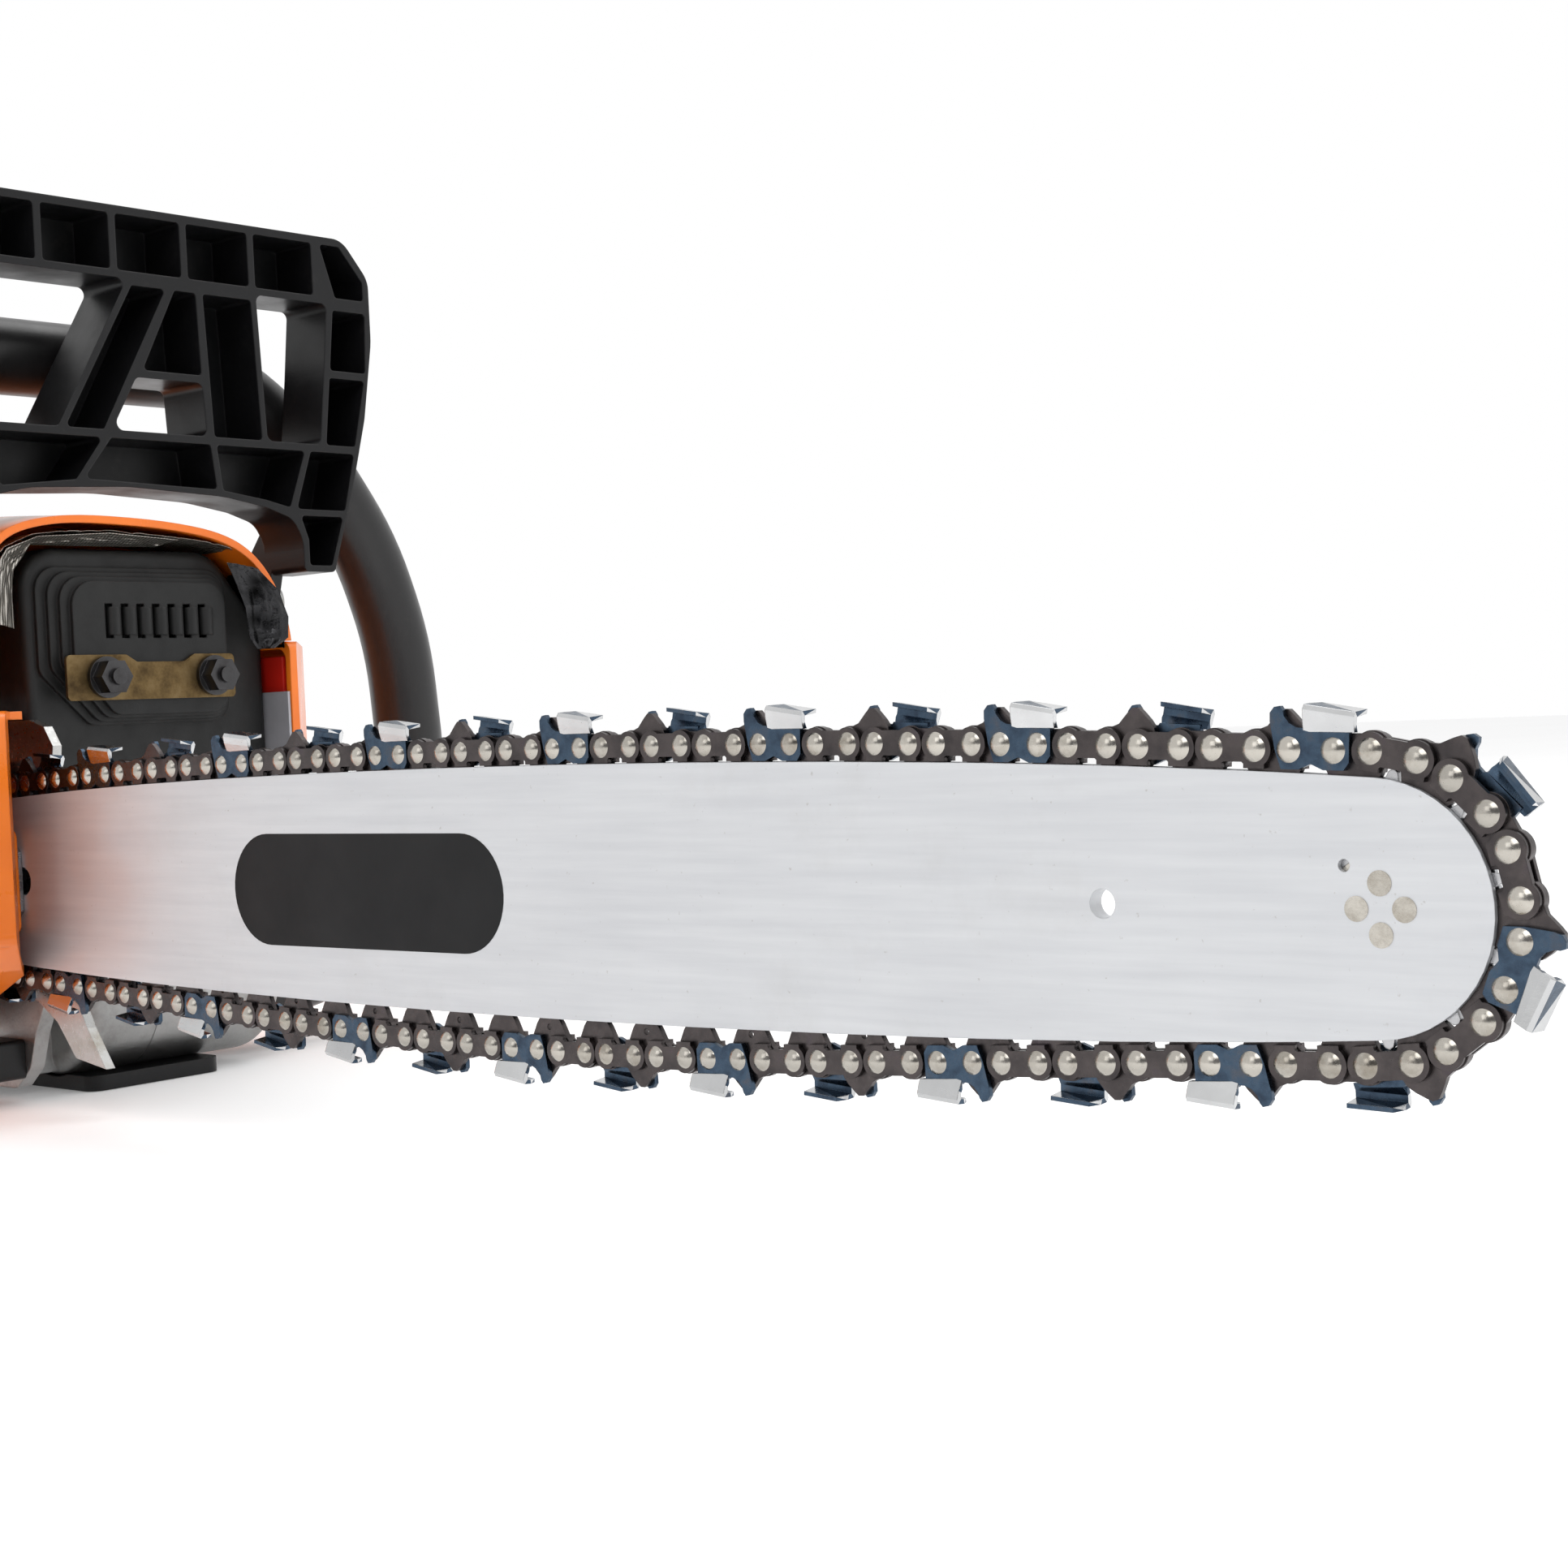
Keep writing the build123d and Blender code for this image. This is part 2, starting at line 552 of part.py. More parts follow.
def crank_train():
    """Crankshaft with its webs, and the rod and piston held at top dead centre."""
    shaft = rod_y(0, AXIS_Z, 5, -86, -32) + rod_y(0, AXIS_Z, SHAFT_R - 0.04, -34, -5.4)
    shaft += rod_y(0, AXIS_Z, SHAFT_R - 0.04, 5.4, 36) + rod_y(0, AXIS_Z, 5, 34, 60)
    web_r = CHAMBER_R - 1.5
    shaft += rod_y(0, AXIS_Z, web_r, -14, -5.4) + rod_y(0, AXIS_Z, web_r, 5.4, 14)
    node("crankshaft", shaft)
    pin_z = AXIS_Z + CRANK_THROW
    wrist_z = pin_z + ROD_LENGTH
    node("connecting_rod", rod_y(0, pin_z, 6, -5.2, 5.2))
    rod = rod_y(0, pin_z, 10, -4.6, 4.6) + rod_y(0, wrist_z, 7.5, -4.6, 4.6)
    rod += box(-4.5, 4.5, -2.6, 2.6, pin_z + 6, wrist_z - 4)
    rod -= rod_y(0, pin_z, 6.05, -9, 9) + rod_y(0, wrist_z, 5.05, -9, 9)
    node("connecting_rod", rod)
    node("connecting_rod", rod_y(0, wrist_z, 5, -19, 19) - rod_y(0, wrist_z, 3, -20, 20))
    crown_z = wrist_z + 13.5
    piston = rod_z(0, 0, BORE_R - 0.12, crown_z - 30, crown_z)
    piston -= rod_z(0, 0, BORE_R - 2.6, crown_z - 31, crown_z - 4)
    piston += rod_y(0, wrist_z, 8, 5.2, 19) + rod_y(0, wrist_z, 8, -19, -5.2)
    piston -= rod_y(0, wrist_z, 5.03, -30, 30)
    piston &= rod_z(0, 0, BORE_R - 0.12, crown_z - 31, crown_z)
    for z in (crown_z - 3.6, crown_z - 7.2):
        piston -= rod_z(0, 0, BORE_R, z - 0.65, z + 0.65) - rod_z(0, 0, BORE_R - 1.7, z - 1, z + 1)
    node("piston", piston)
    rings = []
    for z in (crown_z - 3.6, crown_z - 7.2):
        ring = rod_z(0, 0, BORE_R - 0.02, z - 0.6, z + 0.6) - rod_z(0, 0, BORE_R - 1.6, z - 1, z + 1)
        rings.append(ring - box(-0.4, 0.4, 10, 30, z - 1, z + 1))
    node("piston", rings)
    bearings = [ring_y(0, AXIS_Z, SHAFT_R, BEARING_R, y, y + 11) for y in (-27, 16)]
    node("crank_bearings", bearings)
    seals = [ring_y(0, AXIS_Z, SHAFT_R, SHAFT_R + 1.5, y, y + 4) for y in (-33, 29)]
    node("crank_bearings", seals)
    return crown_z


def cylinder(crown_z):
    head_z = crown_z + 5.5
    body = rod_z(0, 0, 28, 104, head_z)
    body += box(-32, 32, -32, 32, DECK_Z, DECK_Z + 6)
    fin_t, fin_step = 1.8, 6.2
    z = DECK_Z + 12
    while z + fin_t < head_z + 5:
        body += slab_z(rect(-37, 37, -32, 32, 12), z, z + fin_t)
        z += fin_step
    body += rod_z(0, 0, 11, head_z - 3, head_z + 4)
    body += rod_x(26, 42, 0, EXHAUST_Z, 12) + box(38, 42, -32, 28, EXHAUST_Z - 13, EXHAUST_Z + 13)
    body += rod_x(-42, -26, 0, EXHAUST_Z, 12) + box(-42, -38, -20, 20, EXHAUST_Z - 14, EXHAUST_Z + 14)
    body -= rod_z(0, 0, BORE_R, 90, crown_z + 1)
    body -= rod_z(0, 0, 5, crown_z, head_z + 8)
    body -= rod_x(20, 50, 0, EXHAUST_Z, 8) + rod_x(-50, -20, 0, EXHAUST_Z, 8.5)
    for y in MUFFLER_BOLT_Y:
        body -= rod_x(36, 43, y, EXHAUST_Z, 2.6)
    node("cylinder", body)
    bolts = []
    for x in (-27, 27):
        for y in (-27, 27):
            bolts.append(rod_z(x, y, 4.4, DECK_Z + 6.02, DECK_Z + 10.5) - rod_z(x, y, 2.2, DECK_Z + 8, DECK_Z + 12))
    node("socket_screws", bolts)
    top = head_z + 4
    plug = rod_z(0, 0, 4.95, crown_z + 1.5, top + 1) + slab_z(hexagon(0, 0, 17), top + 0.1, top + 6)
    plug += rod_z(0, 0, 5.2, top + 6, top + 10) + rod_z(0, 0, 3, top + 10, top + 13)
    node("spark_plug", plug)
    lead_z = top + 10.6
    boot = rod_z(0, 0, 8.4, top + 6.3, top + 16.2) + rod_y(0, lead_z, 4.4, 6, 15)
    boot -= rod_z(0, 0, 5.4, top + 6, top + 10.2) + rod_z(0, 0, 3.1, top + 10, top + 13.2)
    node("ignition_lead", boot)
    coil = box(-14, 14, 43, 57, 114, 131) + box(-12, -5, 45, 55, 108, 115) + box(5, 12, 45, 55, 108, 115)
    coil -= rod_y(0, AXIS_Z, FLYWHEEL_R + 0.6, 40, 60)
    node("ignition_coil", coil)
    route = [(0, 46, 131), (0, 46, 137), (0, 37.2, 147), (0, 36.6, 160), (0, 27, lead_z), (0, 15.1, lead_z)]
    lead_path = FilletPolyline(*route, radius=[5, 8, 10, 8])
    start = Plane(origin=lead_path @ 0, z_dir=lead_path % 0)
    node("ignition_lead", sweep(start * Circle(2.4), path=lead_path))


def intake():
    """Rubber intake boot, carburettor, filter base plate and the box-shaped air filter."""
    boot = rod_x(-54, -42.1, 0, EXHAUST_Z, 14) - rod_x(-60, -40, 0, EXHAUST_Z, 8.5)
    node("intake_boot", boot)
    carb = box(-84, -54.1, -17, 17, 118, 150) - rod_x(-90, -50, 0, EXHAUST_Z, 9)
    carb += rod_z(-69, 0, 9, 150, 154) + rod_y(-69, 124, 6, 17, 22)
    node("carburettor", carb)
    plate = box(-88, -84.2, -33, 33, 98, 150) - rod_x(-90, -80, 0, EXHAUST_Z, 9)
    plate -= rod_x(-90, -80, -28, 104, 2.6)
    node("air_filter", plate)
    frame = box(-112, -88.2, -28, 28, 108, 146)
    frame -= box(-109, -88, -25, 25, 111, 143)
    for i in range(8):
        y = -22.75 + i * 6.5
        frame += box(-114, -111, y - 1.4, y + 1.4, 110, 144)
    node("air_filter", frame)


def muffler_rim(inset):
    """Outline of the muffler cover in (Y, Z), cut back at its upper left corner."""
    i = inset
    corners = [(-47.8 + i, 96 + i), (43.2 - i, 96 + i), (43.2 - i, 150 - 0.4 * i),
               (24 - 0.4 * i, 175.5 - i), (-47.8 + i, 175.5 - i)]
    return poly(corners, [12 - i, 9 - i, 18 - i, 14 - i, 13 - i])


def muffler():
    body = box(46, 84, -38, 28, 100, 166)
    body = fillet(body.edges().filter_by(Axis.X), 10)
    body -= fillet(box(48, 82, -36, 26, 102, 164).edges().filter_by(Axis.X), 8)
    body += box(42.8, 46.5, -31, 26, EXHAUST_Z - 12, EXHAUST_Z + 12)
    body -= rod_x(40, 50, 0, EXHAUST_Z, 8)
    for y in MUFFLER_BOLT_Y:
        body -= rod_x(40, 90, y, EXHAUST_Z, 3.2)
    node("muffler_body", body)
    node("muffler_body", box(42, 42.8, -31, 26, EXHAUST_Z - 12, EXHAUST_Z + 12)
         - rod_x(40, 44, 0, EXHAUST_Z, 8) - rod_x(40, 44, MUFFLER_BOLT_Y[0], EXHAUST_Z, 3.1)
         - rod_x(40, 44, MUFFLER_BOLT_Y[1], EXHAUST_Z, 3.1))
    cover = slab_x(muffler_rim(0), 66, MUFFLER_RIM_X)
    front_edges = [e for e in cover.edges() if abs(e.center().X - MUFFLER_RIM_X) < 0.01]
    cover = fillet(front_edges, 3)
    for i in range(MUFFLER_STEPS):
        front = MUFFLER_RIM_X + (MUFFLER_X - MUFFLER_RIM_X) * (i + 1) / MUFFLER_STEPS
        left, right, top = -44.6 + 3.2 * i, 26.5 - 1.2 * i, 169.4 - 1.6 * i
        raised = poly([(left, top), (right, top), (right, 119 + i), (-27 + 2 * i, 119 + i),
                       (left, 136 + i)], [8, 7, 7, 6, 6])
        cover += slab_x(raised, MUFFLER_RIM_X - 1, front)
    cover -= slab_x(muffler_rim(1.6), 65, MUFFLER_RIM_X - 1.6)
    cover -= slab_x(rect(-26, 21, 126, 161, 4), 80, MUFFLER_X - 1.6)
    for i in range(7):
        y = -21.4 + i * 5.9
        cover -= box(95, 102, y - 1.9, y + 1.0, 146.5, 157.5)
        flap = rod_z(MUFFLER_X - 1.4, y + 1.9, 2.4, 147.5, 156.5)
        cover += flap & box(MUFFLER_X - 1.5, 104, -60, 60, 140, 160)
    for y in MUFFLER_BOLT_Y:
        cover -= rod_x(80, 110, y, EXHAUST_Z, 3.2)
    node("muffler_cover", cover)
    strap = poly([(-39, 126.8), (24.6, 126.8), (24.6, 141.2), (9, 141.2), (5, 138.8), (-13, 138.8),
                  (-17, 141.2), (-39, 141.2)], 1.6)
    plate = slab_x(strap, MUFFLER_X + 0.05, MUFFLER_X + 1.2)
    for y in MUFFLER_BOLT_Y:
        plate -= rod_x(99, 103, y, EXHAUST_Z, 3.1)
    node("muffler_plate", plate)
    studs, nuts = [], []
    for y in MUFFLER_BOLT_Y:
        studs.append(rod_x(37, 109.5, y, EXHAUST_Z, 2.55))
        nut = rod_x(101.25, 102.9, y, EXHAUST_Z, 6.6) + slab_x(hexagon(y, EXHAUST_Z, 10), 102.5, 108)
        nuts.append(nut - rod_x(100, 110, y, EXHAUST_Z, 2.6))
    node("muffler_studs_and_nuts", studs)
    node("muffler_studs_and_nuts", nuts)


# ------------------------------------------------------------------ covers
def arch(points, floor_z):
    """A closed cover section in (Y, Z): a smooth arch over straight legs down to floor_z."""
    (y0, _), (y1, _) = points[0], points[-1]
    legs = Polyline(points[-1], (y1, floor_z), (y0, floor_z), points[0])
    return make_face([Spline(*points), *legs.edges()])


def cover_section(grow, lift):
    """Top cover section; grow moves its wall out, lift raises its crown."""
    g = grow
    return arch([(47.5 + g, 138), (46.2 + g, 152), (41 + g, 165 + lift * 0.5),
                 (31.5 + 0.7 * g, 175.5 + lift + 0.7 * g), (8, 183 + lift + g), (-20, 185 + lift + g),
                 (-48, 183.4 + lift + g), (-62 - 0.6 * g, 177.5 + lift + 0.8 * g),
                 (-69.5 - g, 164 + lift * 0.5), (-71 - g, 146), (-71 - g, 127)], 112 + g)


def cover_solid(grow, x0, x1, lifts):
    places = [x0 + (x1 - x0) * i / (len(lifts) - 1) for i in range(len(lifts))]
    faces = []
    for x, lift in zip(places, lifts):
        plane = Plane(origin=(x, 0, 0), x_dir=(0, 1, 0), z_dir=(1, 0, 0))
        faces.append(plane * cover_section(grow, lift))
    return loft(faces)


TOP_LIFTS = (-4.0, 0.0, 3.5, 3.0, 0.0)
FRONT_X, COVER_REAR_X = 103.0, -60.0


def top_cover():
    outer = cover_solid(0, COVER_REAR_X, FRONT_X, TOP_LIFTS)
    inner = cover_solid(-WALL, COVER_REAR_X - 0.5, FRONT_X + 0.5, TOP_LIFTS)
    shell = outer - inner
    shell -= box(-80, 120, -80, 80, 100, 127.5) + box(-80, 120, 0, 80, 100, 145.2)
    for i in range(7):
        shell -= Pos(-30 + i * 11, -66, 148) * Rot(0, 24, 0) * Box(4, 20, 24)
    node("top_cover", shell)
    return outer


def filter_cover():
    """Shell over the air filter, closed at the rear, with the choke knob's hole."""
    lifts = (-16.0, -10.0, -4.6)
    outer = cover_solid(-0.6, -124, COVER_REAR_X - GAP, lifts)
    inner = cover_solid(-0.6 - WALL, -124 + WALL, COVER_REAR_X + 1, lifts)
    wall = box(-124, COVER_REAR_X - GAP, -70.4, 46.9, 76, 128)
    inside = box(-124 + WALL, -50, -70.4 + WALL, 46.9 - WALL, 70, 130)
    shell = (outer - inner) - box(-130, -50, -80, 80, 100, 127.9)
    shell += wall - inside
    shell -= rod_x(-130, -110, -28, 104, 4.2) + rod_x(-130, -110, 6, 152, 3.6)
    node("filter_cover", shell)
    knob = rod_x(-138, -124.4, 6, 152, 11) + box(-141, -137, -3, 15, 149.5, 154.5)
    knob += rod_x(-125, -116, 6, 152, 3.4)
    node("filter_cover_knob", knob)
    choke = rod_x(-146, -137, -28, 104, 8) + rod_x(-140, -92, -28, 104, 2.4)
    node("choke_knob", choke)


def starter_plan(inset):
    i = inset
    return poly([(-58 + i, 40), (54, 40), (54, 44.9), (105 - i, 44.9), (105 - i, 47.6 - i * 0.6),
                 (62 - 0.7 * i, 84 - i), (-30 + 0.7 * i, 84 - i), (-58 + i, 64 - 0.6 * i)])


def starter_outline(inset):
    i = inset
    corners = [(-58 + i, 145 - i), (105 - i, 145 - i), (104 - i, 66 + i), (46 - 0.6 * i, 64 + i),
               (36 - i, 50 + 0.6 * i), (24 - i, 36 + 0.4 * i), (22 - i, 12 + i), (-40 + 0.5 * i, 12 + i),
               (-58 + i, 34 + 0.5 * i)]
    return poly(corners, [10, 4, 8, 6, 6, 6, 8, 16, 10])


ROPE_X = PULLEY_R + ROPE_R
ROPE_Y = 68.0


def starter():
    shell = slab_z(starter_plan(0), 0, 160) & slab_y(starter_outline(0), 38, 90)
    shell -= slab_z(starter_plan(WALL), -1, 161) & slab_y(starter_outline(WALL), 30, 90)
    shell -= rod_z(0, 42, 5, 138, 147)
    grille = None
    for i in range(24):
        bar = Rot(0, 0, i * 15) * rect(17, 37, -1.7, 1.7, 1.6)
        grille = bar if grille is None else grille + bar
    shell -= Pos(0, 0, AXIS_Z) * slab_y(grille, 78, 90)
    shell += rod_y(0, AXIS_Z, 5.5, 64, 82)
    shell += rod_z(ROPE_X, ROPE_Y, 6, 138, 147)
    shell -= rod_z(ROPE_X, ROPE_Y, ROPE_R + 0.8, 130, 150)
    node("starter_housing", shell)
    pulley = ring_y(0, AXIS_Z, 5.6, PULLEY_R + 4, 64.8, 66) + ring_y(0, AXIS_Z, 5.6, PULLEY_R + 4, 70, 71.2)
    pulley += ring_y(0, AXIS_Z, 5.6, PULLEY_R - 4, 65, 71)
    node("starter_pulley", pulley)
    node("starter_pulley", ring_y(0, AXIS_Z, PULLEY_R - 3.9, PULLEY_R - 0.4, 66.3, 69.7))
    node("starter_rope", rod_z(ROPE_X, ROPE_Y, ROPE_R, 55, 150))
    grip = fillet(box(ROPE_X - 8, ROPE_X + 8, 54, 86, 147.4, 163).edges(), 5)
    grip += rod_z(ROPE_X, ROPE_Y, 5, 147.3, 150)
    grip -= rod_z(ROPE_X, ROPE_Y, ROPE_R, 140, 150)
    node("starter_grip", grip)
    spring = None
    for i in range(6):
        r = 8 + i * 2.7
        turn = ring_y(0, AXIS_Z, r, r + 0.7, 73, 79)
        spring = turn if spring is None else spring + turn
    spring += box(7, 22.1, 73, 79, AXIS_Z - 0.35, AXIS_Z + 0.35)
    node("recoil_spring", spring)
    wheel = ring_y(0, AXIS_Z, 5.02, FLYWHEEL_R, 40.5, 48) + ring_y(0, AXIS_Z, 5.02, 12, 40.5, 58)
    for i in range(16):
        blade = Rot(0, 0, i * 22.5) * (Pos(25, 0) * Rot(0, 0, 18) * Rectangle(23, 1.8))
        wheel += bar_slab(blade, 47, 58)
    wheel &= rod_y(0, AXIS_Z, FLYWHEEL_R, 38, 60)
    node("flywheel", wheel)
    places = ((-24, 132), (52, 132), (-24, 24), (24, 26))
    node("socket_screws", [rod_y(x, z, 3.8, 84.0, 86.2) for x, z in places])


def clutch_cover():
    """Cover cut along the walls of its nut recess, so that no hull spans the recess."""
    outline = [(125, 124), (-34, 124), (-54, 104), (-54, 44), (-34, 22), (60, 22), (112, 46), (125, 56)]
    radii = [4, 20, 16, 16, 16, 20, 8, 5]
    plan = poly([(-54, -96), (118, -96), (125, -90), (125, -76), (106, -62.5), (106, -53.5), (-54, -53.5)])
    outer = slab_y(poly(outline, radii), -96, -53) & slab_z(plan, 0, 140)
    inner_outline = [(130, 121.5), (-33, 121.5), (-51.5, 103), (-51.5, 45), (-33, 24.5), (60, 24.5),
                     (111, 48.5), (130, 58)]
    inner = slab_y(poly(inner_outline, [2, 18, 14, 14, 14, 18, 8, 2]), -93.5, -50)
    wall = slab_z(poly([(118, -97), (130, -97), (130, -70), (104, -52), (102.5, -54), (122.5, -77.5),
                        (122.5, -89), (116.5, -93.6)]), 50, 122)
    shell = outer - (inner - wall)
    shell -= box(-60, 130, -63.0, -50, 20, 119)
    shell -= box(-60, 60, -63.0, -50, 119, 130) + box(59, 130, -58.5, -50, 110, 130)
    tub = slab_y(rect(42.5, 104, 56, 88, 3), -95, -61.3)
    well = slab_y(rect(44.8, 101, 59, 85, 1.5), -97, -68)
    shell = shell + tub - well
    for x in BAR_STUD_X:
        shell -= rod_y(SHIFT + x, AXIS_Z, BAR_STUD_R + 0.2, -70, -60)
    for i in range(6):
        shell -= Pos(-8 + i * 13, -95, 105) * Rot(0, 20, 0) * Box(3, 8, 16)
    floor = box(46.3, 99.5, -68, -40, 60.5, 83.5)
    sides = [box(-60, 46.3, -100, -40, 0, 140), box(99.5, 140, -100, -40, 0, 140),
             box(46.3, 99.5, -100, -40, 83.5, 140), box(46.3, 99.5, -100, -40, 0, 60.5)]
    for block in (floor, *sides):
        node("clutch_cover", (shell & block).solids())
    nuts = []
    for x in BAR_STUD_X:
        nut = ring_y(SHIFT + x, AXIS_Z, BAR_STUD_R, 8.5, -70, -68.05)
        nut += slab_y(hexagon(SHIFT + x, AXIS_Z, 13) - disc(SHIFT + x, AXIS_Z, BAR_STUD_R), -77, -69.5)
        nuts.append(nut)
    node("bar_studs_and_nuts", nuts)
    guide = poly([(36, 57), (98, 57), (104, 63), (104, 81), (98, 87), (36, 87)])
    holes = disc(SHIFT + BAR_STUD_X[0], AXIS_Z, 4.4) + disc(SHIFT + BAR_STUD_X[1], AXIS_Z, 4.4)
    node("bar_guide_plates", slab_y(guide - holes, -55.6, -54.5))
    node("bar_guide_plates", slab_y(guide - holes, -61.2, -60.1))
    band = ring_y(0, AXIS_Z, DRUM_R + 0.5, DRUM_R + 1.5, -82, -70)
    band -= box(20, 60, -90, -60, 58, 66)
    node("brake_band", band)


def front_hardware():
    """Bumper spike, chain catcher, heat plate, red air baffle and the foil heat shield."""
    spike = poly([(88, 36), (88, 121.3), (101, 121.3), (109, 119), (113.5, 113), (112.5, 106), (106, 99),
                  (116, 93), (107, 84), (107, 66), (116, 57), (107, 49), (110, 40), (120, 34),
                  (124, 27), (133, 15), (117, 17.5), (108, 28), (98, 34)])
    plate = slab_y(spike, -53.2, -50.1)
    plate -= box(80, 100.4, -54.5, -49, 55.5, 89.5)
    node("bumper_spike", plate)
    node("socket_screws", [rod_y(94, z, 3.4, -54.3, -53.25) for z in (48, 104)])
    catcher = box(66, 84, -63, -50.1, 16, 21) + box(78, 84, -63, -50.1, 8.5, 21)
    node("chain_catcher", fillet(catcher.edges().filter_by(Axis.Y), 1.5))
    node("heat_plate", box(58, 104.3, 43.6, 44.6, 90, 128))
    node("air_baffle", box(64, 100.5, 45.0, 47.0, 92, 140))
    foil = cover_solid(-3.4, 52, 98, (1.5, 0.6, 0.0)) - cover_solid(-4.4, 51, 99, (1.5, 0.6, 0.0))
    foil -= box(40, 110, -90, 90, 100, 150) + box(40, 110, -42, 46, 100, 173)
    node("foil_heat_shield", foil)


# ------------------------------------------------------------------ handles, tank and guard
def tube_path():
    points = [(44, 55.5, 20), (46, 100, 26), (57, 128, 58), (TUBE_X, 134.5, 100), (TUBE_X, 130.5, 146),
              (TUBE_X, 117, 182), (TUBE_X, 93, 214), (TUBE_X, 54, 240.5), (TUBE_X, -50, 240.5),
              (50, -90, 214), (12, -106, 168), (-54, -114, 122), (-88, -108, 70), (-92, -74, 50),
              (-92, -42.5, 50)]
    return FilletPolyline(*points, radius=[30, 44, 90, 120, 110, 80, 60, 44, 50, 60, 40, 26, 20])


def front_handle():
    """Bent tube in short lengths end to end, so that each one's hull follows its own bend."""
    edges = tube_path().edges()
    cuts = [round(len(edges) * i / TUBE_LENGTHS) for i in range(TUBE_LENGTHS + 1)]
    for first, last in zip(cuts, cuts[1:]):
        path = Wire(edges[first:last])
        start = Plane(origin=path @ 0, z_dir=path % 0)
        node("front_handle", sweep(start * (Circle(TUBE_R) - Circle(TUBE_R - 2.6)), path=path))
    foot = rod_y(44, 20, 14, 52.1, 55.3)
    end = rod_y(-92, 50, 15.5, -42.3, -38.4)
    node("front_handle", [foot, end])


def hand_guard():
    """Ribbed guard: an outer frame and slanted struts, open to the front in deep cells."""
    outline = poly([(70, 169), (81, 203), (86.5, 223), (91, 250), (91, 272), (80, 285), (-82, 285),
                    (-93, 272), (-93, 250), (-91, 223), (-90, 203), (-90, 171), (-76, 169), (-71, 182),
                    (-60, 190.5), (-48, 193.3), (-12, 195), (25, 193.3), (42, 190.5), (53, 187),
                    (57, 180), (57, 169)],
                   [2, 30, 30, 30, 9, 9, 9, 9, 30, 30, 30, 3, 3, 8, 14, 30, 90, 60, 14, 8, 12, 2])
    windows = [
        [(-66, 213), (-36.5, 213), (-8.5, 262), (-66, 262)],
        [(-17, 213), (19.5, 213), (18.5, 230.5), (-7, 230.5)],
        [(44, 213), (66.5, 213), (69.5, 238), (72, 262), (42, 262)],
    ]
    cells = [
        [(-58, 193.6), (-58, 210.4), (-20.5, 210.4), (-31, 196.6)],
        [(-28.2, 197), (-17.5, 210.4), (20.6, 210.4), (22.4, 195.6)],
        [(24.8, 195.4), (23, 210.4), (59.6, 210.4), (52.2, 190.8), (42, 193)],
        [(62, 210.4), (81, 210.4), (75.8, 190.4), (55, 190.4)],
        [(56.4, 188.2), (74.8, 188.2), (69, 171.2), (59.4, 171.2), (59.4, 180)],
        [(-60.4, 193), (-60.4, 210.4), (-88, 210.4), (-87.4, 192)],
        [(-70, 186.6), (-87.4, 189), (-87.4, 173.4), (-77, 171.6), (-73, 182)],
        [(-34, 213), (-20, 213), (6, 260), (-7, 260)],
        [(-4.4, 233), (18.4, 233), (17.6, 260), (9.4, 260)],
        [(22.4, 213), (41.8, 213), (39.8, 260), (20.4, 260)],
        [(69, 213), (81.6, 213), (87.2, 236.4), (71.8, 236.4)],
        [(72.2, 239), (87.8, 239), (88.8, 260), (74.6, 260)],
        [(-68.4, 213), (-88.6, 213), (-90.4, 260), (-68.4, 260)],
        [(-68.4, 264.4), (-90.2, 264.4), (-90.2, 271), (-81, 282.4), (-68.4, 282.4)],
        [(76, 264.4), (88.4, 264.4), (88.4, 271), (78.6, 282.4), (70, 282.4)],
    ]
    for x0 in range(-66, 66, 27):
        cells.append([(x0, 264.4), (x0 + 24.4, 264.4), (x0 + 24.4, 282.4), (x0, 282.4)])
    body = slab_x(outline, *GUARD_X)
    for window in windows:
        body -= slab_x(poly(window, 2.5), 60, 120)
    for cell in cells:
        body -= slab_x(poly(cell, 1.2), GUARD_X[0] + GUARD_WEB, 120)
    x, z = GUARD_PIVOT
    ear = poly([(x - 8, z - 7), (x + 6, z - 8), (GUARD_X[0] + 4, 172), (GUARD_X[0] + 4, 186),
                (GUARD_X[0], 186), (x - 8, z + 8)], 3)
    body += slab_y(ear, 57, 62) + slab_y(ear, -82, -77)
    body -= rod_y(x, z, 4.06, -90, 90)
    node("hand_guard", body)
    bolts = []
    for y0, y1, head in ((49.2, 62.4, 62.4), (-82.4, -72.4, -85.4)):
        bolts.append(rod_y(x, z, 4.0, y0, y1) + rod_y(x, z, 7, head, head + 3))
    node("pivot_pins", bolts)


def guard_brackets(cover):
    x, z = GUARD_PIVOT
    left = box(x - 9, x + 8, 36, 56.6, z - 9, z + 7) - cover
    right = box(x - 9, x + 8, -76.6, -56, z - 9, z + 7) - cover
    keep = []
    for part in (left, right):
        part -= rod_y(x, z, 4.0, -90, 90)
        keep.append(max(part.solids(), key=lambda s: abs(s.center().Y)))
    node("guard_brackets", keep)


TANK_X = (-172.0, -62.0)
TRIGGER_PIVOT = (-200.0, 128.0)
LOCK_PIVOT = (-206.0, 139.0)


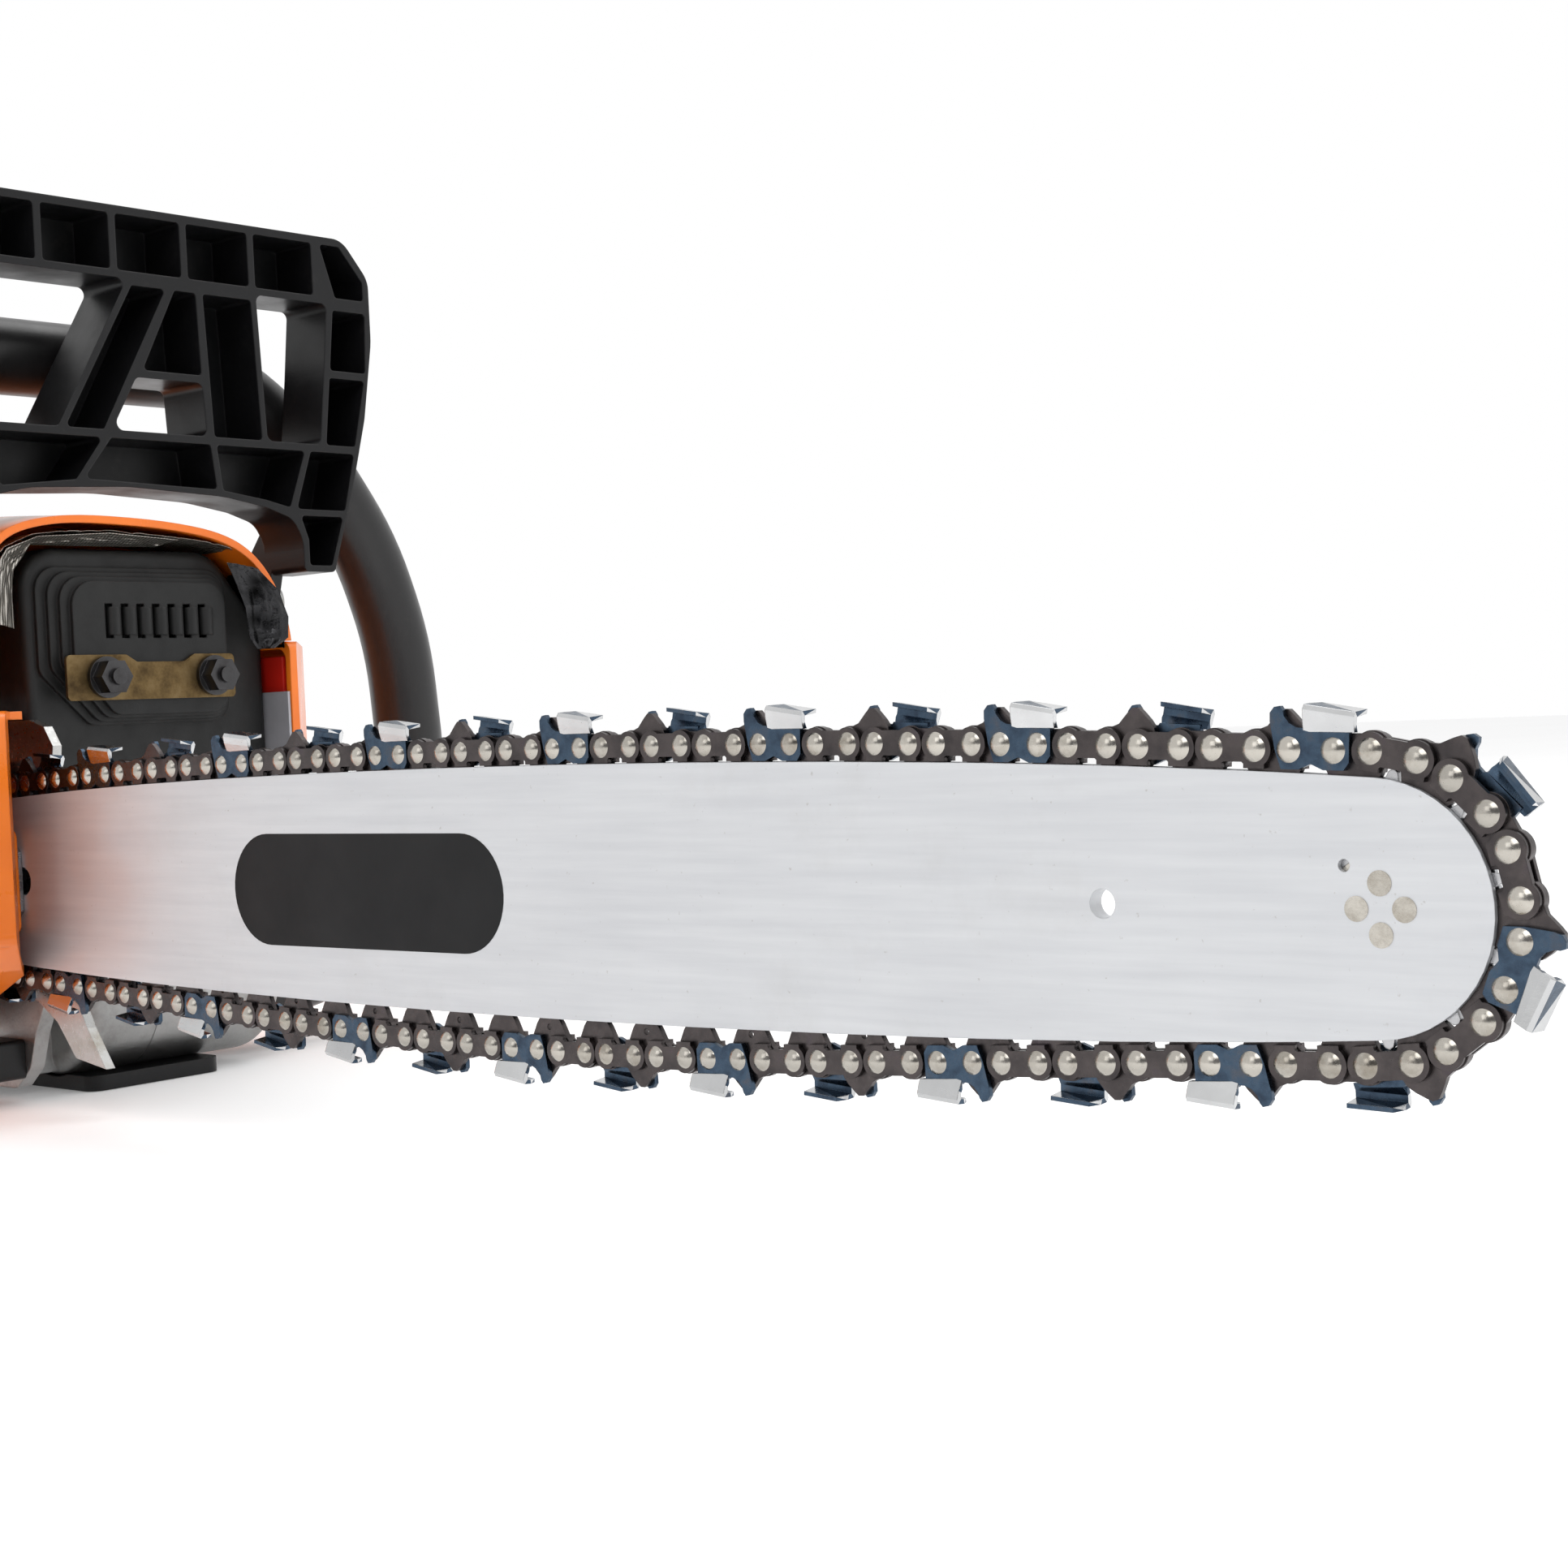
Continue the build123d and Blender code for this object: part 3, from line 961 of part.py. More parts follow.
def rear_handle():
    """Fuel tank and rear handle in one moulding, with pockets for the trigger and its lock."""
    x0, x1 = TANK_X
    tank = fillet(box(x0, x1, -38, 60, 2, 72).edges(), 7)
    frame = poly([(-70, 8), (-70, 66), (-134, 68), (-151, 146), (-172, 157), (-316, 128),
                  (-340, 104), (-342, 16), (-328, 2), (-160, 2)], [6, 6, 22, 16, 16, 24, 24, 12, 12, 8])
    hole = poly([(-182, 116), (-306, 94), (-318, 84), (-318, 24), (-306, 15), (-186, 15),
                 (-176, 26), (-170, 92)], [12, 8, 8, 8, 8, 8, 8, 14])
    ring = slab_y(frame, -16.5, 16.5) - slab_y(hole, -30, 30)
    ring = fillet([e for e in ring.edges() if abs(abs(e.center().Y) - 16.5) < 0.01], 4.5)
    foot = slab_z(rect(-330, -180, -32, 24, 8), 0, 6)
    body = tank + ring + (foot - slab_y(hole, -40, 40))
    body -= fillet(box(x0 + 4, x1 - 4, -34, 56, 6, 66).edges(), 4)
    pocket = poly([(-188, 150), (-300, 127.5), (-303, 104), (-190, 122)])
    body -= slab_y(pocket, -7.5, 7.5)
    body -= box(-262, -190, -6.4, 6.4, 90, 130)
    body -= box(-286, -196, -6.4, 6.4, 128, 165)
    body -= rod_y(-112, 38, 14, 50, 64)
    body += ring_y(-112, 38, 14, 17, 56, 63)
    body -= rod_y(-158, 118, 4.1, 8, 20)
    node("rear_handle_tank", body)
    node("fuel_cap", rod_y(-112, 38, 18.5, 63.1, 69) + rod_y(-112, 38, 13.88, 55, 63.2)
         + box(-114.5, -109.5, 68, 74, 22, 54))
    tx, tz = TRIGGER_PIVOT
    blade = poly([(tx - 5, tz + 4), (tx + 5, tz + 4), (tx + 5, tz - 6), (tx - 4, tz - 14), (tx - 18, tz - 34),
                  (tx - 26, tz - 37), (tx - 27, tz - 30), (tx - 29, tz - 18),
                  (tx - 28, tz - 9), (tx - 16, tz - 2)], 1.2)
    trigger = slab_y(blade, -5.4, 5.4) - rod_y(tx, tz, 2.05, -9, 9)
    node("throttle_trigger", trigger)
    lx, lz = LOCK_PIVOT
    lever = poly([(lx - 4, lz - 4), (lx + 4, lz - 4), (lx + 4, lz + 4), (lx - 8, lz + 13), (lx - 40, lz + 14),
                  (lx - 66, lz + 3), (lx - 66, lz - 5), (lx - 40, lz - 1)], 1.2)
    lock = slab_y(lever, -5.4, 5.4) - rod_y(lx, lz, 2.05, -9, 9)
    node("throttle_lockout", lock)
    node("pivot_pins", [rod_y(tx, tz, 2.0, -7.4, 7.4), rod_y(lx, lz, 2.0, -7.4, 7.4)])
    switch = rod_y(-158, 118, 4.0, 12, 17) + fillet(box(-168, -148, 16.9, 22, 113, 123).edges(), 2)
    node("stop_switch", switch)
    mounts = [rod_x(-61.8, -46.3, y, z, 9) for y, z in ((-24, 30), (24, 30))]
    node("av_mounts", mounts)


def base():
    """Black skid under the crankcase, with the screws that hold it."""
    skid = slab_z(rect(-58, 80, -24, 27, 5), 0, 5.0)
    x, z, r = BARREL
    skid -= rod_y(x, z, r + 0.1, -60, 60)
    node("base_skid", skid)


def build():
    guide_bar()
    nose_parts()
    saw_chain()
    drive_sprocket()
    clutch()
    crankcase()
    crown_z = crank_train()
    cylinder(crown_z)
    intake()
    muffler()
    cover = top_cover()
    filter_cover()
    starter()
    clutch_cover()
    front_hardware()
    front_handle()
    hand_guard()
    guard_brackets(cover)
    rear_handle()
    base()


def write_parts():
    os.makedirs("parts", exist_ok=True)
    for name, solids in NODES.items():
        export_step(Compound(children=solids, label=name), f"parts/{name}.step")


if __name__ == "__main__":
    build()
    write_parts()
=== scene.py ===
"""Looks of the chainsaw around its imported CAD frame: materials, foil, bar patch, light and camera.

Everything is in metres in the CAD's own frame: +X along the bar, +Y operator's left, +Z up.
"""

import json
import math

import bpy
from mathutils import Matrix, Vector, noise


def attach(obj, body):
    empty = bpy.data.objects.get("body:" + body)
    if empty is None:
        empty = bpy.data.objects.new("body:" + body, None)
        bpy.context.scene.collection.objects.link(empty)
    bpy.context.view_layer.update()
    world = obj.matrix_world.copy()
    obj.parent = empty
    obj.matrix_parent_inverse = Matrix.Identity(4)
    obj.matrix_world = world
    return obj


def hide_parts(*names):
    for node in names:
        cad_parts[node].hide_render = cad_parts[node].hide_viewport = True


MM = 0.001
BAR_Y = -57.85 * MM
BAR_FACE_Y = BAR_Y - 2.15 * MM
CHISEL_OUTER = 2.25 * MM             # a cutter's polygons further out than this are its bent top
CHISEL_INNER = 0.78 * MM             # and so are those nearer the bar's middle plane than this
FOIL_THICKNESS = 0.12 * MM
PATCH_X = (0.2105, 0.3193)           # plain dark patch on the bar
PATCH_Z = (0.0560, 0.0864)
PATCH_LIFT = (0.00006, 0.00001)      # its front and back, proud of the bar's face
PATCH_ARC_STEPS = 24
FLOOR_SIZE = 14.0
FLOOR_Z = -0.0002
WHITE = (1, 1, 1, 1)
UNLIT = (0.2, 0.2, 0.21, 1)
DARK_SIDE = (0.74, -0.62, 0.26)      # direction of the unlit room, hidden from the camera
DARK_FADE = (0.45, 0.9)              # cosine to that direction where it begins and is full
LAMPS = (                            # name, place, target, width in metres, power in watts
    ("key_softbox", (1.5, -1.0, 1.8), (0.25, 0, 0.08), 1.3, 14),
    ("side_softbox", (0.5, -2.1, 1.3), (0.1, 0, 0.1), 1.2, 5),
    ("top_softbox", (0.1, 0.6, 2.2), (0.1, 0, 0.1), 1.6, 17),
)
CAMERA_PLACE = (0.75505, -0.4603, 0.1124)
CAMERA_RIGHT = (0.75953, 0.64892, -0.04483)
CAMERA_UP = (0.01527, 0.05111, 0.99858)
CAMERA_BACK = (0.65029, -0.75914, 0.02891)
CAMERA_LENS = 54.64
CAMERA_SENSOR = 36

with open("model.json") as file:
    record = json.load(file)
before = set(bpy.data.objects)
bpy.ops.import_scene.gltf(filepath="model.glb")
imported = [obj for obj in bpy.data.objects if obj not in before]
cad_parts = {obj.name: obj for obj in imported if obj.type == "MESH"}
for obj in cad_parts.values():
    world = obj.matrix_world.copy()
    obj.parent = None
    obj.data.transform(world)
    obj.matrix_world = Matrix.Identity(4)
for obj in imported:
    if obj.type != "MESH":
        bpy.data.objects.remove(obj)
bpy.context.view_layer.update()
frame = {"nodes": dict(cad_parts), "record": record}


# ------------------------------------------------------------------ shader helpers
class Shader:
    """A Principled material with small helpers for the nodes that drive it."""

    def __init__(self, name, color, roughness, metallic=0.0, specular=0.5, bevel=0.0):
        self.material = bpy.data.materials.new(name)
        self.material.use_nodes = True
        self.material.diffuse_color = (*color, 1)
        self.nodes = self.material.node_tree.nodes
        self.links = self.material.node_tree.links
        self.bsdf = self.nodes["Principled BSDF"]
        self.bsdf.inputs["Base Color"].default_value = (*color, 1)
        self.bsdf.inputs["Roughness"].default_value = roughness
        self.bsdf.inputs["Metallic"].default_value = metallic
        self.bsdf.inputs["Specular IOR Level"].default_value = specular
        self.color = color
        self.place = self.nodes.new("ShaderNodeTexCoord").outputs["Object"]
        self.normal = None
        if bevel:
            edge = self.nodes.new("ShaderNodeBevel")
            edge.samples = 4
            edge.inputs["Radius"].default_value = bevel
            self.normal = edge.outputs["Normal"]
            self.links.new(self.normal, self.bsdf.inputs["Normal"])

    def noise(self, scale, detail=3.0, stretch=None, roughness=0.55):
        """Noise in object space, scale in cells per metre, stretched per axis."""
        node = self.nodes.new("ShaderNodeTexNoise")
        node.inputs["Scale"].default_value = scale
        node.inputs["Detail"].default_value = detail
        node.inputs["Roughness"].default_value = roughness
        source = self.place
        if stretch:
            mapping = self.nodes.new("ShaderNodeMapping")
            mapping.inputs["Scale"].default_value = stretch
            self.links.new(source, mapping.inputs["Vector"])
            source = mapping.outputs["Vector"]
        self.links.new(source, node.inputs["Vector"])
        return node.outputs["Fac"]

    def cells(self, scale):
        node = self.nodes.new("ShaderNodeTexVoronoi")
        node.inputs["Scale"].default_value = scale
        self.links.new(self.place, node.inputs["Vector"])
        return node.outputs["Distance"]

    def ramp(self, factor, stops):
        """A colour or grey ramp; stops are (position, value or colour)."""
        node = self.nodes.new("ShaderNodeValToRGB")
        elements = node.color_ramp.elements
        while len(elements) < len(stops):
            elements.new(0.5)
        for element, (position, value) in zip(elements, stops):
            element.position = position
            element.color = (*value, 1) if isinstance(value, tuple) else (value, value, value, 1)
        self.links.new(factor, node.inputs["Fac"])
        return node.outputs["Color"]

    def mix(self, factor, first, second):
        node = self.nodes.new("ShaderNodeMix")
        node.data_type = "RGBA"
        for socket, value in (("Factor", factor), ("A", first), ("B", second)):
            target = next(s for s in node.inputs if s.name == socket and s.enabled)
            if isinstance(value, bpy.types.NodeSocket):
                self.links.new(value, target)
            elif isinstance(value, tuple):
                target.default_value = (*value, 1)
            else:
                target.default_value = value
        return next(s for s in node.outputs if s.enabled)

    def base(self, value):
        self.links.new(value, self.bsdf.inputs["Base Color"])

    def rough(self, factor, low, high):
        self.links.new(self.ramp(factor, [(0.3, low), (0.7, high)]), self.bsdf.inputs["Roughness"])

    def bump(self, height, strength, distance):
        node = self.nodes.new("ShaderNodeBump")
        node.inputs["Strength"].default_value = strength
        node.inputs["Distance"].default_value = distance
        self.links.new(height, node.inputs["Height"])
        if self.normal is not None:
            self.links.new(self.normal, node.inputs["Normal"])
        self.normal = node.outputs["Normal"]
        self.links.new(self.normal, self.bsdf.inputs["Normal"])

    def coat(self, weight, roughness):
        self.bsdf.inputs["Coat Weight"].default_value = weight
        self.bsdf.inputs["Coat Roughness"].default_value = roughness


def scaled(color, factor):
    return tuple(min(1.0, c * factor) for c in color)


def plastic(name, color, roughness, grain, depth, dust=0.0, coat=0.0, bevel=0.0008, specular=0.45):
    """Moulded plastic: spark-eroded grain, slow gloss changes and, if asked, specks of dust."""
    s = Shader(name, color, roughness, specular=specular, bevel=bevel)
    slow = s.noise(26, 4)
    tone = s.ramp(slow, [(0.3, scaled(color, 0.86)), (0.7, scaled(color, 1.1))])
    if dust:
        speck = s.ramp(s.noise(190, 6, roughness=0.7), [(0.56, 0.0), (0.74, dust)])
        tone = s.mix(speck, tone, (0.34, 0.31, 0.27))
    s.base(tone)
    s.rough(s.noise(60, 5), roughness - 0.06, roughness + 0.08)
    s.bump(s.noise(grain, 2), 0.35, depth)
    if coat:
        s.coat(coat, 0.12)
    return s.material


def metal(name, color, roughness, grain=900, stretch=None, depth=0.00006, stain=None, bevel=0.0003,
          metallic=1.0, spread=0.08):
    """Bare metal: machining or casting texture, uneven gloss and faint stains."""
    s = Shader(name, color, roughness, metallic, bevel=bevel)
    slow = s.noise(40, 5)
    tone = s.ramp(slow, [(0.3, scaled(color, 0.82)), (0.7, scaled(color, 1.12))])
    if stain:
        mask = s.ramp(s.noise(75, 7, roughness=0.68), [(0.5, 0.0), (0.72, 0.75)])
        tone = s.mix(mask, tone, stain)
    s.base(tone)
    fine = s.noise(grain, 3, stretch)
    s.rough(fine, max(0.05, roughness - spread), roughness + spread)
    s.bump(fine, 0.4, depth)
    return s.material


def bar_steel():
    """Ground bar steel: lengthwise grind, smudges and fine specks."""
    color = (0.60, 0.61, 0.625)
    s = Shader("bar_steel", color, 0.46, 0.6, specular=0.3, bevel=0.0003)
    grind = s.noise(420, 4, (0.05, 1.0, 1.0))
    tone = s.ramp(grind, [(0.3, (0.575, 0.585, 0.605)), (0.7, (0.635, 0.645, 0.66))])
    smudge = s.ramp(s.noise(23, 8, roughness=0.7), [(0.54, 0.0), (0.78, 0.34)])
    tone = s.mix(smudge, tone, (0.50, 0.495, 0.485))
    speck = s.ramp(s.noise(620, 3), [(0.69, 0.0), (0.76, 0.5)])
    tone = s.mix(speck, tone, (0.36, 0.34, 0.32))
    s.base(tone)
    s.rough(s.noise(34, 6), 0.40, 0.54)
    s.bump(grind, 0.12, 0.00003)
    return s.material


def cutter_blue():
    """Heat-blued side plate of a cutter."""
    s = Shader("cutter_blue", (0.05, 0.085, 0.14), 0.3, 1.0, bevel=0.0002)
    hue = s.ramp(s.noise(260, 3), [(0.3, (0.035, 0.05, 0.075)), (0.55, (0.055, 0.085, 0.125)),
                                   (0.8, (0.085, 0.09, 0.105))])
    s.base(hue)
    s.rough(s.noise(900, 3), 0.22, 0.38)
    s.bump(s.noise(1500, 2), 0.2, 0.00003)
    return s.material


def link_steel():
    s = Shader("link_steel", (0.075, 0.062, 0.058), 0.32, 1.0, bevel=0.00025)
    hue = s.ramp(s.noise(150, 4), [(0.3, (0.05, 0.045, 0.046)), (0.6, (0.085, 0.074, 0.073)),
                                   (0.85, (0.075, 0.06, 0.075))])
    s.base(hue)
    s.rough(s.noise(800, 3), 0.24, 0.42)
    s.bump(s.noise(1400, 2), 0.25, 0.00004)
    return s.material


def foil_skin(name, color, dark):
    """Crumpled dark heat foil, with painted shade making it blackest in the hollows of its folds."""
    s = Shader(name, color, 0.3, 1.0)
    fold = s.cells(120)
    # painted shade: the colour falls to the darkest tone where the fold bump below sinks into
    # hollows
    s.base(s.ramp(fold, [(0.1, dark), (0.55, color)]))
    s.rough(s.noise(240, 4), 0.12, 0.34)
    s.bump(fold, 1.0, 0.003)
    s.bump(s.noise(420, 4), 0.6, 0.0008)
    return s.material


def mesh_foil():
    """Silver foil stamped with a fine square weave."""
    s = Shader("mesh_foil", (0.55, 0.52, 0.47), 0.4, 1.0)
    wave = s.nodes.new("ShaderNodeTexWave")
    wave.inputs["Scale"].default_value = 260
    wave.bands_direction = "X"
    s.links.new(s.place, wave.inputs["Vector"])
    cross = s.nodes.new("ShaderNodeTexWave")
    cross.inputs["Scale"].default_value = 260
    cross.bands_direction = "Y"
    s.links.new(s.place, cross.inputs["Vector"])
    weave = s.mix(0.5, wave.outputs["Color"], cross.outputs["Color"])
    s.base(s.ramp(weave, [(0.25, (0.20, 0.185, 0.16)), (0.75, (0.62, 0.59, 0.54))]))
    s.bump(weave, 0.7, 0.0003)
    s.bump(s.noise(110, 4), 0.6, 0.0012)
    return s.material


def muffler_paint():
    """Matt stove paint: fine orange peel and a grey ash bloom."""
    color = (0.0075, 0.0078, 0.0078)
    s = Shader("muffler_black", color, 0.5, 0.0, 0.4, bevel=0.0009)
    bloom = s.ramp(s.noise(34, 6, roughness=0.65), [(0.42, 0.0), (0.75, 0.3)])
    s.base(s.mix(bloom, color, (0.022, 0.021, 0.02)))
    s.rough(s.noise(120, 5), 0.4, 0.6)
    s.bump(s.noise(1300, 3), 0.4, 0.00012)
    return s.material


def brass_strap():
    """Brass strap browned by heat in patches."""
    s = Shader("brass_plate", (0.30, 0.20, 0.08), 0.36, 0.85, bevel=0.0003)
    patch = s.noise(120, 6, roughness=0.65)
    tone = s.ramp(patch, [(0.3, (0.055, 0.034, 0.014)), (0.5, (0.15, 0.098, 0.04)),
                          (0.72, (0.23, 0.16, 0.075))])
    s.base(tone)
    s.rough(s.noise(300, 4), 0.28, 0.52)
    s.bump(s.noise(700, 3), 0.3, 0.00008)
    return s.material


def felt():
    s = Shader("filter_material", (0.72, 0.69, 0.6), 0.9, bevel=0)
    s.base(s.ramp(s.noise(900, 4), [(0.3, (0.55, 0.52, 0.44)), (0.7, (0.8, 0.77, 0.68))]))
    s.bump(s.noise(1600, 3), 0.8, 0.0003)
    return s.material


def braid():
    """Braided rope: a twisted weave of light strands."""
    s = Shader("cord", (0.7, 0.7, 0.66), 0.8)
    wave = s.nodes.new("ShaderNodeTexWave")
    wave.inputs["Scale"].default_value = 160
    wave.inputs["Distortion"].default_value = 3
    wave.bands_direction = "DIAGONAL"
    s.links.new(s.place, wave.inputs["Vector"])
    s.base(s.ramp(wave.outputs["Fac"], [(0.2, (0.45, 0.45, 0.42)), (0.8, (0.85, 0.85, 0.8))]))
    s.bump(wave.outputs["Fac"], 0.7, 0.0004)
    return s.material


ORANGE = (1.0, 0.205, 0.01)
BLACK = (0.006, 0.006, 0.0068)
MATERIALS = {
    "orange_plastic": plastic("orange_plastic", ORANGE, 0.30, 1100, 0.00004, coat=0.35),
    "black_plastic": plastic("black_plastic", BLACK, 0.36, 2300, 0.00009, dust=0.02, specular=0.32),
    "satin_black": plastic("satin_black", (0.016, 0.0155, 0.016), 0.33, 1500, 0.00006, dust=0.02,
                           bevel=0),
    "red_plastic": plastic("red_plastic", (0.62, 0.016, 0.008), 0.35, 1300, 0.00005),
    "rubber": plastic("rubber", (0.02, 0.02, 0.02), 0.62, 1800, 0.0001, dust=0.1),
    "filter_material": felt(),
    "cord": braid(),
    "spring_steel": metal("spring_steel", (0.42, 0.43, 0.45), 0.3, 700, (1, 0.1, 1)),
    "zinc_steel": metal("zinc_steel", (0.5, 0.5, 0.49), 0.32, 900, stain=(0.30, 0.27, 0.22)),
    "dark_steel": metal("dark_steel", (0.075, 0.074, 0.076), 0.36, 1100, stain=(0.035, 0.03, 0.03)),
    "cast_alloy": metal("cast_alloy", (0.40, 0.40, 0.395), 0.44, 1000, depth=0.0002,
                        stain=(0.22, 0.21, 0.20), bevel=0.0008),
    "rivet_steel": metal("rivet_steel", (0.47, 0.445, 0.40), 0.22, 1600, stain=(0.20, 0.17, 0.13),
                         bevel=0),
    "machined_steel": metal("machined_steel", (0.46, 0.46, 0.47), 0.28, 800, (1, 0.08, 1)),
    "cutter_steel": cutter_blue(),
    "link_steel": link_steel(),
    # the last colour is the painted shade in the hollows of the foil's folds
    "foil": foil_skin("foil", (0.04, 0.04, 0.042), (0.004, 0.004, 0.004)),
    "bar_steel": bar_steel(),
    "grey_plate": metal("grey_plate", (0.46, 0.46, 0.49), 0.5, 600, (1, 1, 0.1), metallic=0.25),
    "muffler_black": muffler_paint(),
    "brass_plate": brass_strap(),
}
CHROME = metal("chromed_chisel", (0.56, 0.565, 0.57), 0.2, 1300, (0.3, 1, 1), spread=0.09)


# ------------------------------------------------------------------ CAD nodes
def dress_nodes():
    """Give every CAD node the procedural material of its slot."""
    slots = {item["node"]: item["material_slot"] for item in frame["record"]["subparts"]}
    for name, obj in frame["nodes"].items():
        obj.data.materials.clear()
        obj.data.materials.append(MATERIALS[slots[name]])


def chrome_chisels():
    """The bent upper part of every cutter is chromed; its flat side plate is blued."""
    mesh = frame["nodes"]["cutters"].data
    mesh.materials.append(CHROME)
    for polygon in mesh.polygons:
        offset = abs(polygon.center.y - BAR_Y)
        if offset > CHISEL_OUTER or offset < CHISEL_INNER:
            polygon.material_index = 1


dress_nodes()
chrome_chisels()


# ------------------------------------------------------------------ mesh helpers
def mesh_piece(name, verts, faces, material, body="saw", smooth=True):
    mesh = bpy.data.meshes.new(name)
    mesh.from_pydata(verts, [], faces)
    mesh.validate()
    mesh.update()
    if smooth:
        mesh.polygons.foreach_set("use_smooth", [True] * len(mesh.polygons))
    mesh.materials.append(material)
    obj = bpy.data.objects.new(name, mesh)
    bpy.context.scene.collection.objects.link(obj)
    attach(obj, body)
    return obj


# ------------------------------------------------------------------ the bar's plain dark patch
def bar_patch():
    """A plain printed patch with round ends, a hair proud of the bar's outer face."""
    (x0, x1), (z0, z1) = PATCH_X, PATCH_Z
    radius = (z1 - z0) / 2
    ring = []
    for centre, turn in ((x1 - radius, -90), (x0 + radius, 90)):
        for i in range(PATCH_ARC_STEPS + 1):
            a = math.radians(turn + 180 * i / PATCH_ARC_STEPS)
            ring.append((centre + radius * math.cos(a), (z0 + z1) / 2 + radius * math.sin(a)))
    front = [(x, BAR_FACE_Y - PATCH_LIFT[0], z) for x, z in ring]
    back = [(x, BAR_FACE_Y - PATCH_LIFT[1], z) for x, z in ring]
    count = len(ring)
    faces = [tuple(range(count)), tuple(reversed(range(count, 2 * count)))]
    faces += [(i, i + count, (i + 1) % count + count, (i + 1) % count) for i in range(count)]
    ink = plastic("printed_ink", (0.0075, 0.008, 0.009), 0.5, 1500, 0.00003, bevel=0, specular=0.2)
    mesh_piece("bar_patch", front + back, faces, ink, smooth=False)


bar_patch()


# ------------------------------------------------------------------ heat foil round the muffler
def foil_strip(name, section, x0, x1, crumple, material):
    """A crumpled foil strip: section points in (y, z), in millimetres, swept along X."""
    rows, columns = 90, 40
    lengths = [0.0]
    for a, b in zip(section, section[1:]):
        lengths.append(lengths[-1] + math.dist(a, b))
    verts = []
    for i in range(rows + 1):
        s = lengths[-1] * i / rows
        k = max(j for j in range(len(section) - 1) if lengths[j] <= s + 1e-9)
        t = (s - lengths[k]) / (lengths[k + 1] - lengths[k])
        (ay, az), (by, bz) = section[k], section[k + 1]
        y, z = ay + (by - ay) * t, az + (bz - az) * t
        for j in range(columns + 1):
            ragged = 1.6 * noise.noise(Vector((s * 0.21, 3.1, 0.4)))
            x = x0 + (x1 + ragged - x0) * j / columns
            place = Vector((x * 0.16, s * 0.16, len(section)))
            fold = abs(noise.noise(place)) * 1.7 + 0.5 * noise.noise(place * 3.1) - 0.45
            side = noise.noise(place * 1.7 + Vector((9, 2, 5)))
            sideways, sunk = crumple * side * 0.6, crumple * max(0.0, fold)
            verts.append((x * MM, (y + sideways) * MM, (z - sunk) * MM))
    faces = []
    for i in range(rows):
        for j in range(columns):
            a = i * (columns + 1) + j
            faces.append((a, a + 1, a + columns + 2, a + columns + 1))
    strip = mesh_piece(name, verts, faces, material)
    skin = strip.modifiers.new("thickness", "SOLIDIFY")
    skin.thickness = FOIL_THICKNESS
    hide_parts("foil_heat_shield")


def along_edge(edge, fraction):
    """The (y, z) point at a fraction of the way through a list of points."""
    k = fraction * (len(edge) - 1)
    a = min(int(k), len(edge) - 2)
    f = k - a
    (ay, az), (by, bz) = edge[a], edge[a + 1]
    return ay + (by - ay) * f, az + (bz - az) * f


def foil_lip(name, upper, lower, x_top, x_bottom, crumple, material):
    """A folded front lip between two edges given as (y, z) points in millimetres."""
    rows, columns = 30, 80
    verts = []
    for i in range(rows + 1):
        t = i / rows
        for j in range(columns + 1):
            y0, z0 = along_edge(upper, j / columns)
            y1, z1 = along_edge(lower, j / columns)
            place = Vector((y0 * 0.15, t * 2.1, 7.7))
            fold = noise.noise(place) + 0.5 * noise.noise(place * 2.7)
            x = x_top + (x_bottom - x_top) * t + crumple * fold * (0.3 + math.sin(math.pi * t))
            verts.append((x * MM, (y0 + (y1 - y0) * t) * MM, (z0 + (z1 - z0) * t) * MM))
    faces = []
    for i in range(rows):
        for j in range(columns):
            a = i * (columns + 1) + j
            faces.append((a, a + columns + 1, a + columns + 2, a + 1))
    lip = mesh_piece(name, verts, faces, material)
    skin = lip.modifiers.new("thickness", "SOLIDIFY")
    skin.thickness = FOIL_THICKNESS
    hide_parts("foil_heat_shield")


FOIL_SIDE = [(44.0, 143), (43.2, 150), (41.0, 157), (38.0, 163), (34.0, 168)]
FOIL_TOP = [(28, 175.6), (20, 177.6), (8, 179.0), (-20, 180.8), (-38, 180.0), (-48, 178.8),
            (-58, 174.6), (-64.6, 164.5), (-66.6, 150)]
BULGE_INNER = [(31.2, 142.4), (28.4, 146), (27.4, 156), (24, 164), (20.3, 171)]
BULGE_OUTER = [(36.8, 142.4), (42.4, 146), (43.0, 153), (39.8, 162), (31.5, 169)]
LIP_UPPER = [(-66, 152), (-63, 166), (-57, 174.2), (-46, 178.2), (-20, 180.0), (6, 178.4)]
LIP_LOWER = [(-51, 150), (-51, 160), (-50, 168), (-44, 176.2), (-20, 176.3), (2, 176.6)]


def heat_foil():
    """Linings inside the cover, a lip down to the muffler and a bulge over the cover's rim."""
    weave = mesh_foil()
    foil_strip("foil_side", FOIL_SIDE, 62, 103.5, 2.2, MATERIALS["foil"])
    foil_strip("foil_top", FOIL_TOP, 62, 100.5, 1.0, weave)
    foil_lip("foil_bulge", BULGE_INNER, BULGE_OUTER, 105.6, 107.4, 2.2, MATERIALS["foil"])
    foil_lip("foil_lip", LIP_UPPER, LIP_LOWER, 100, 92, 1.2, weave)


heat_foil()


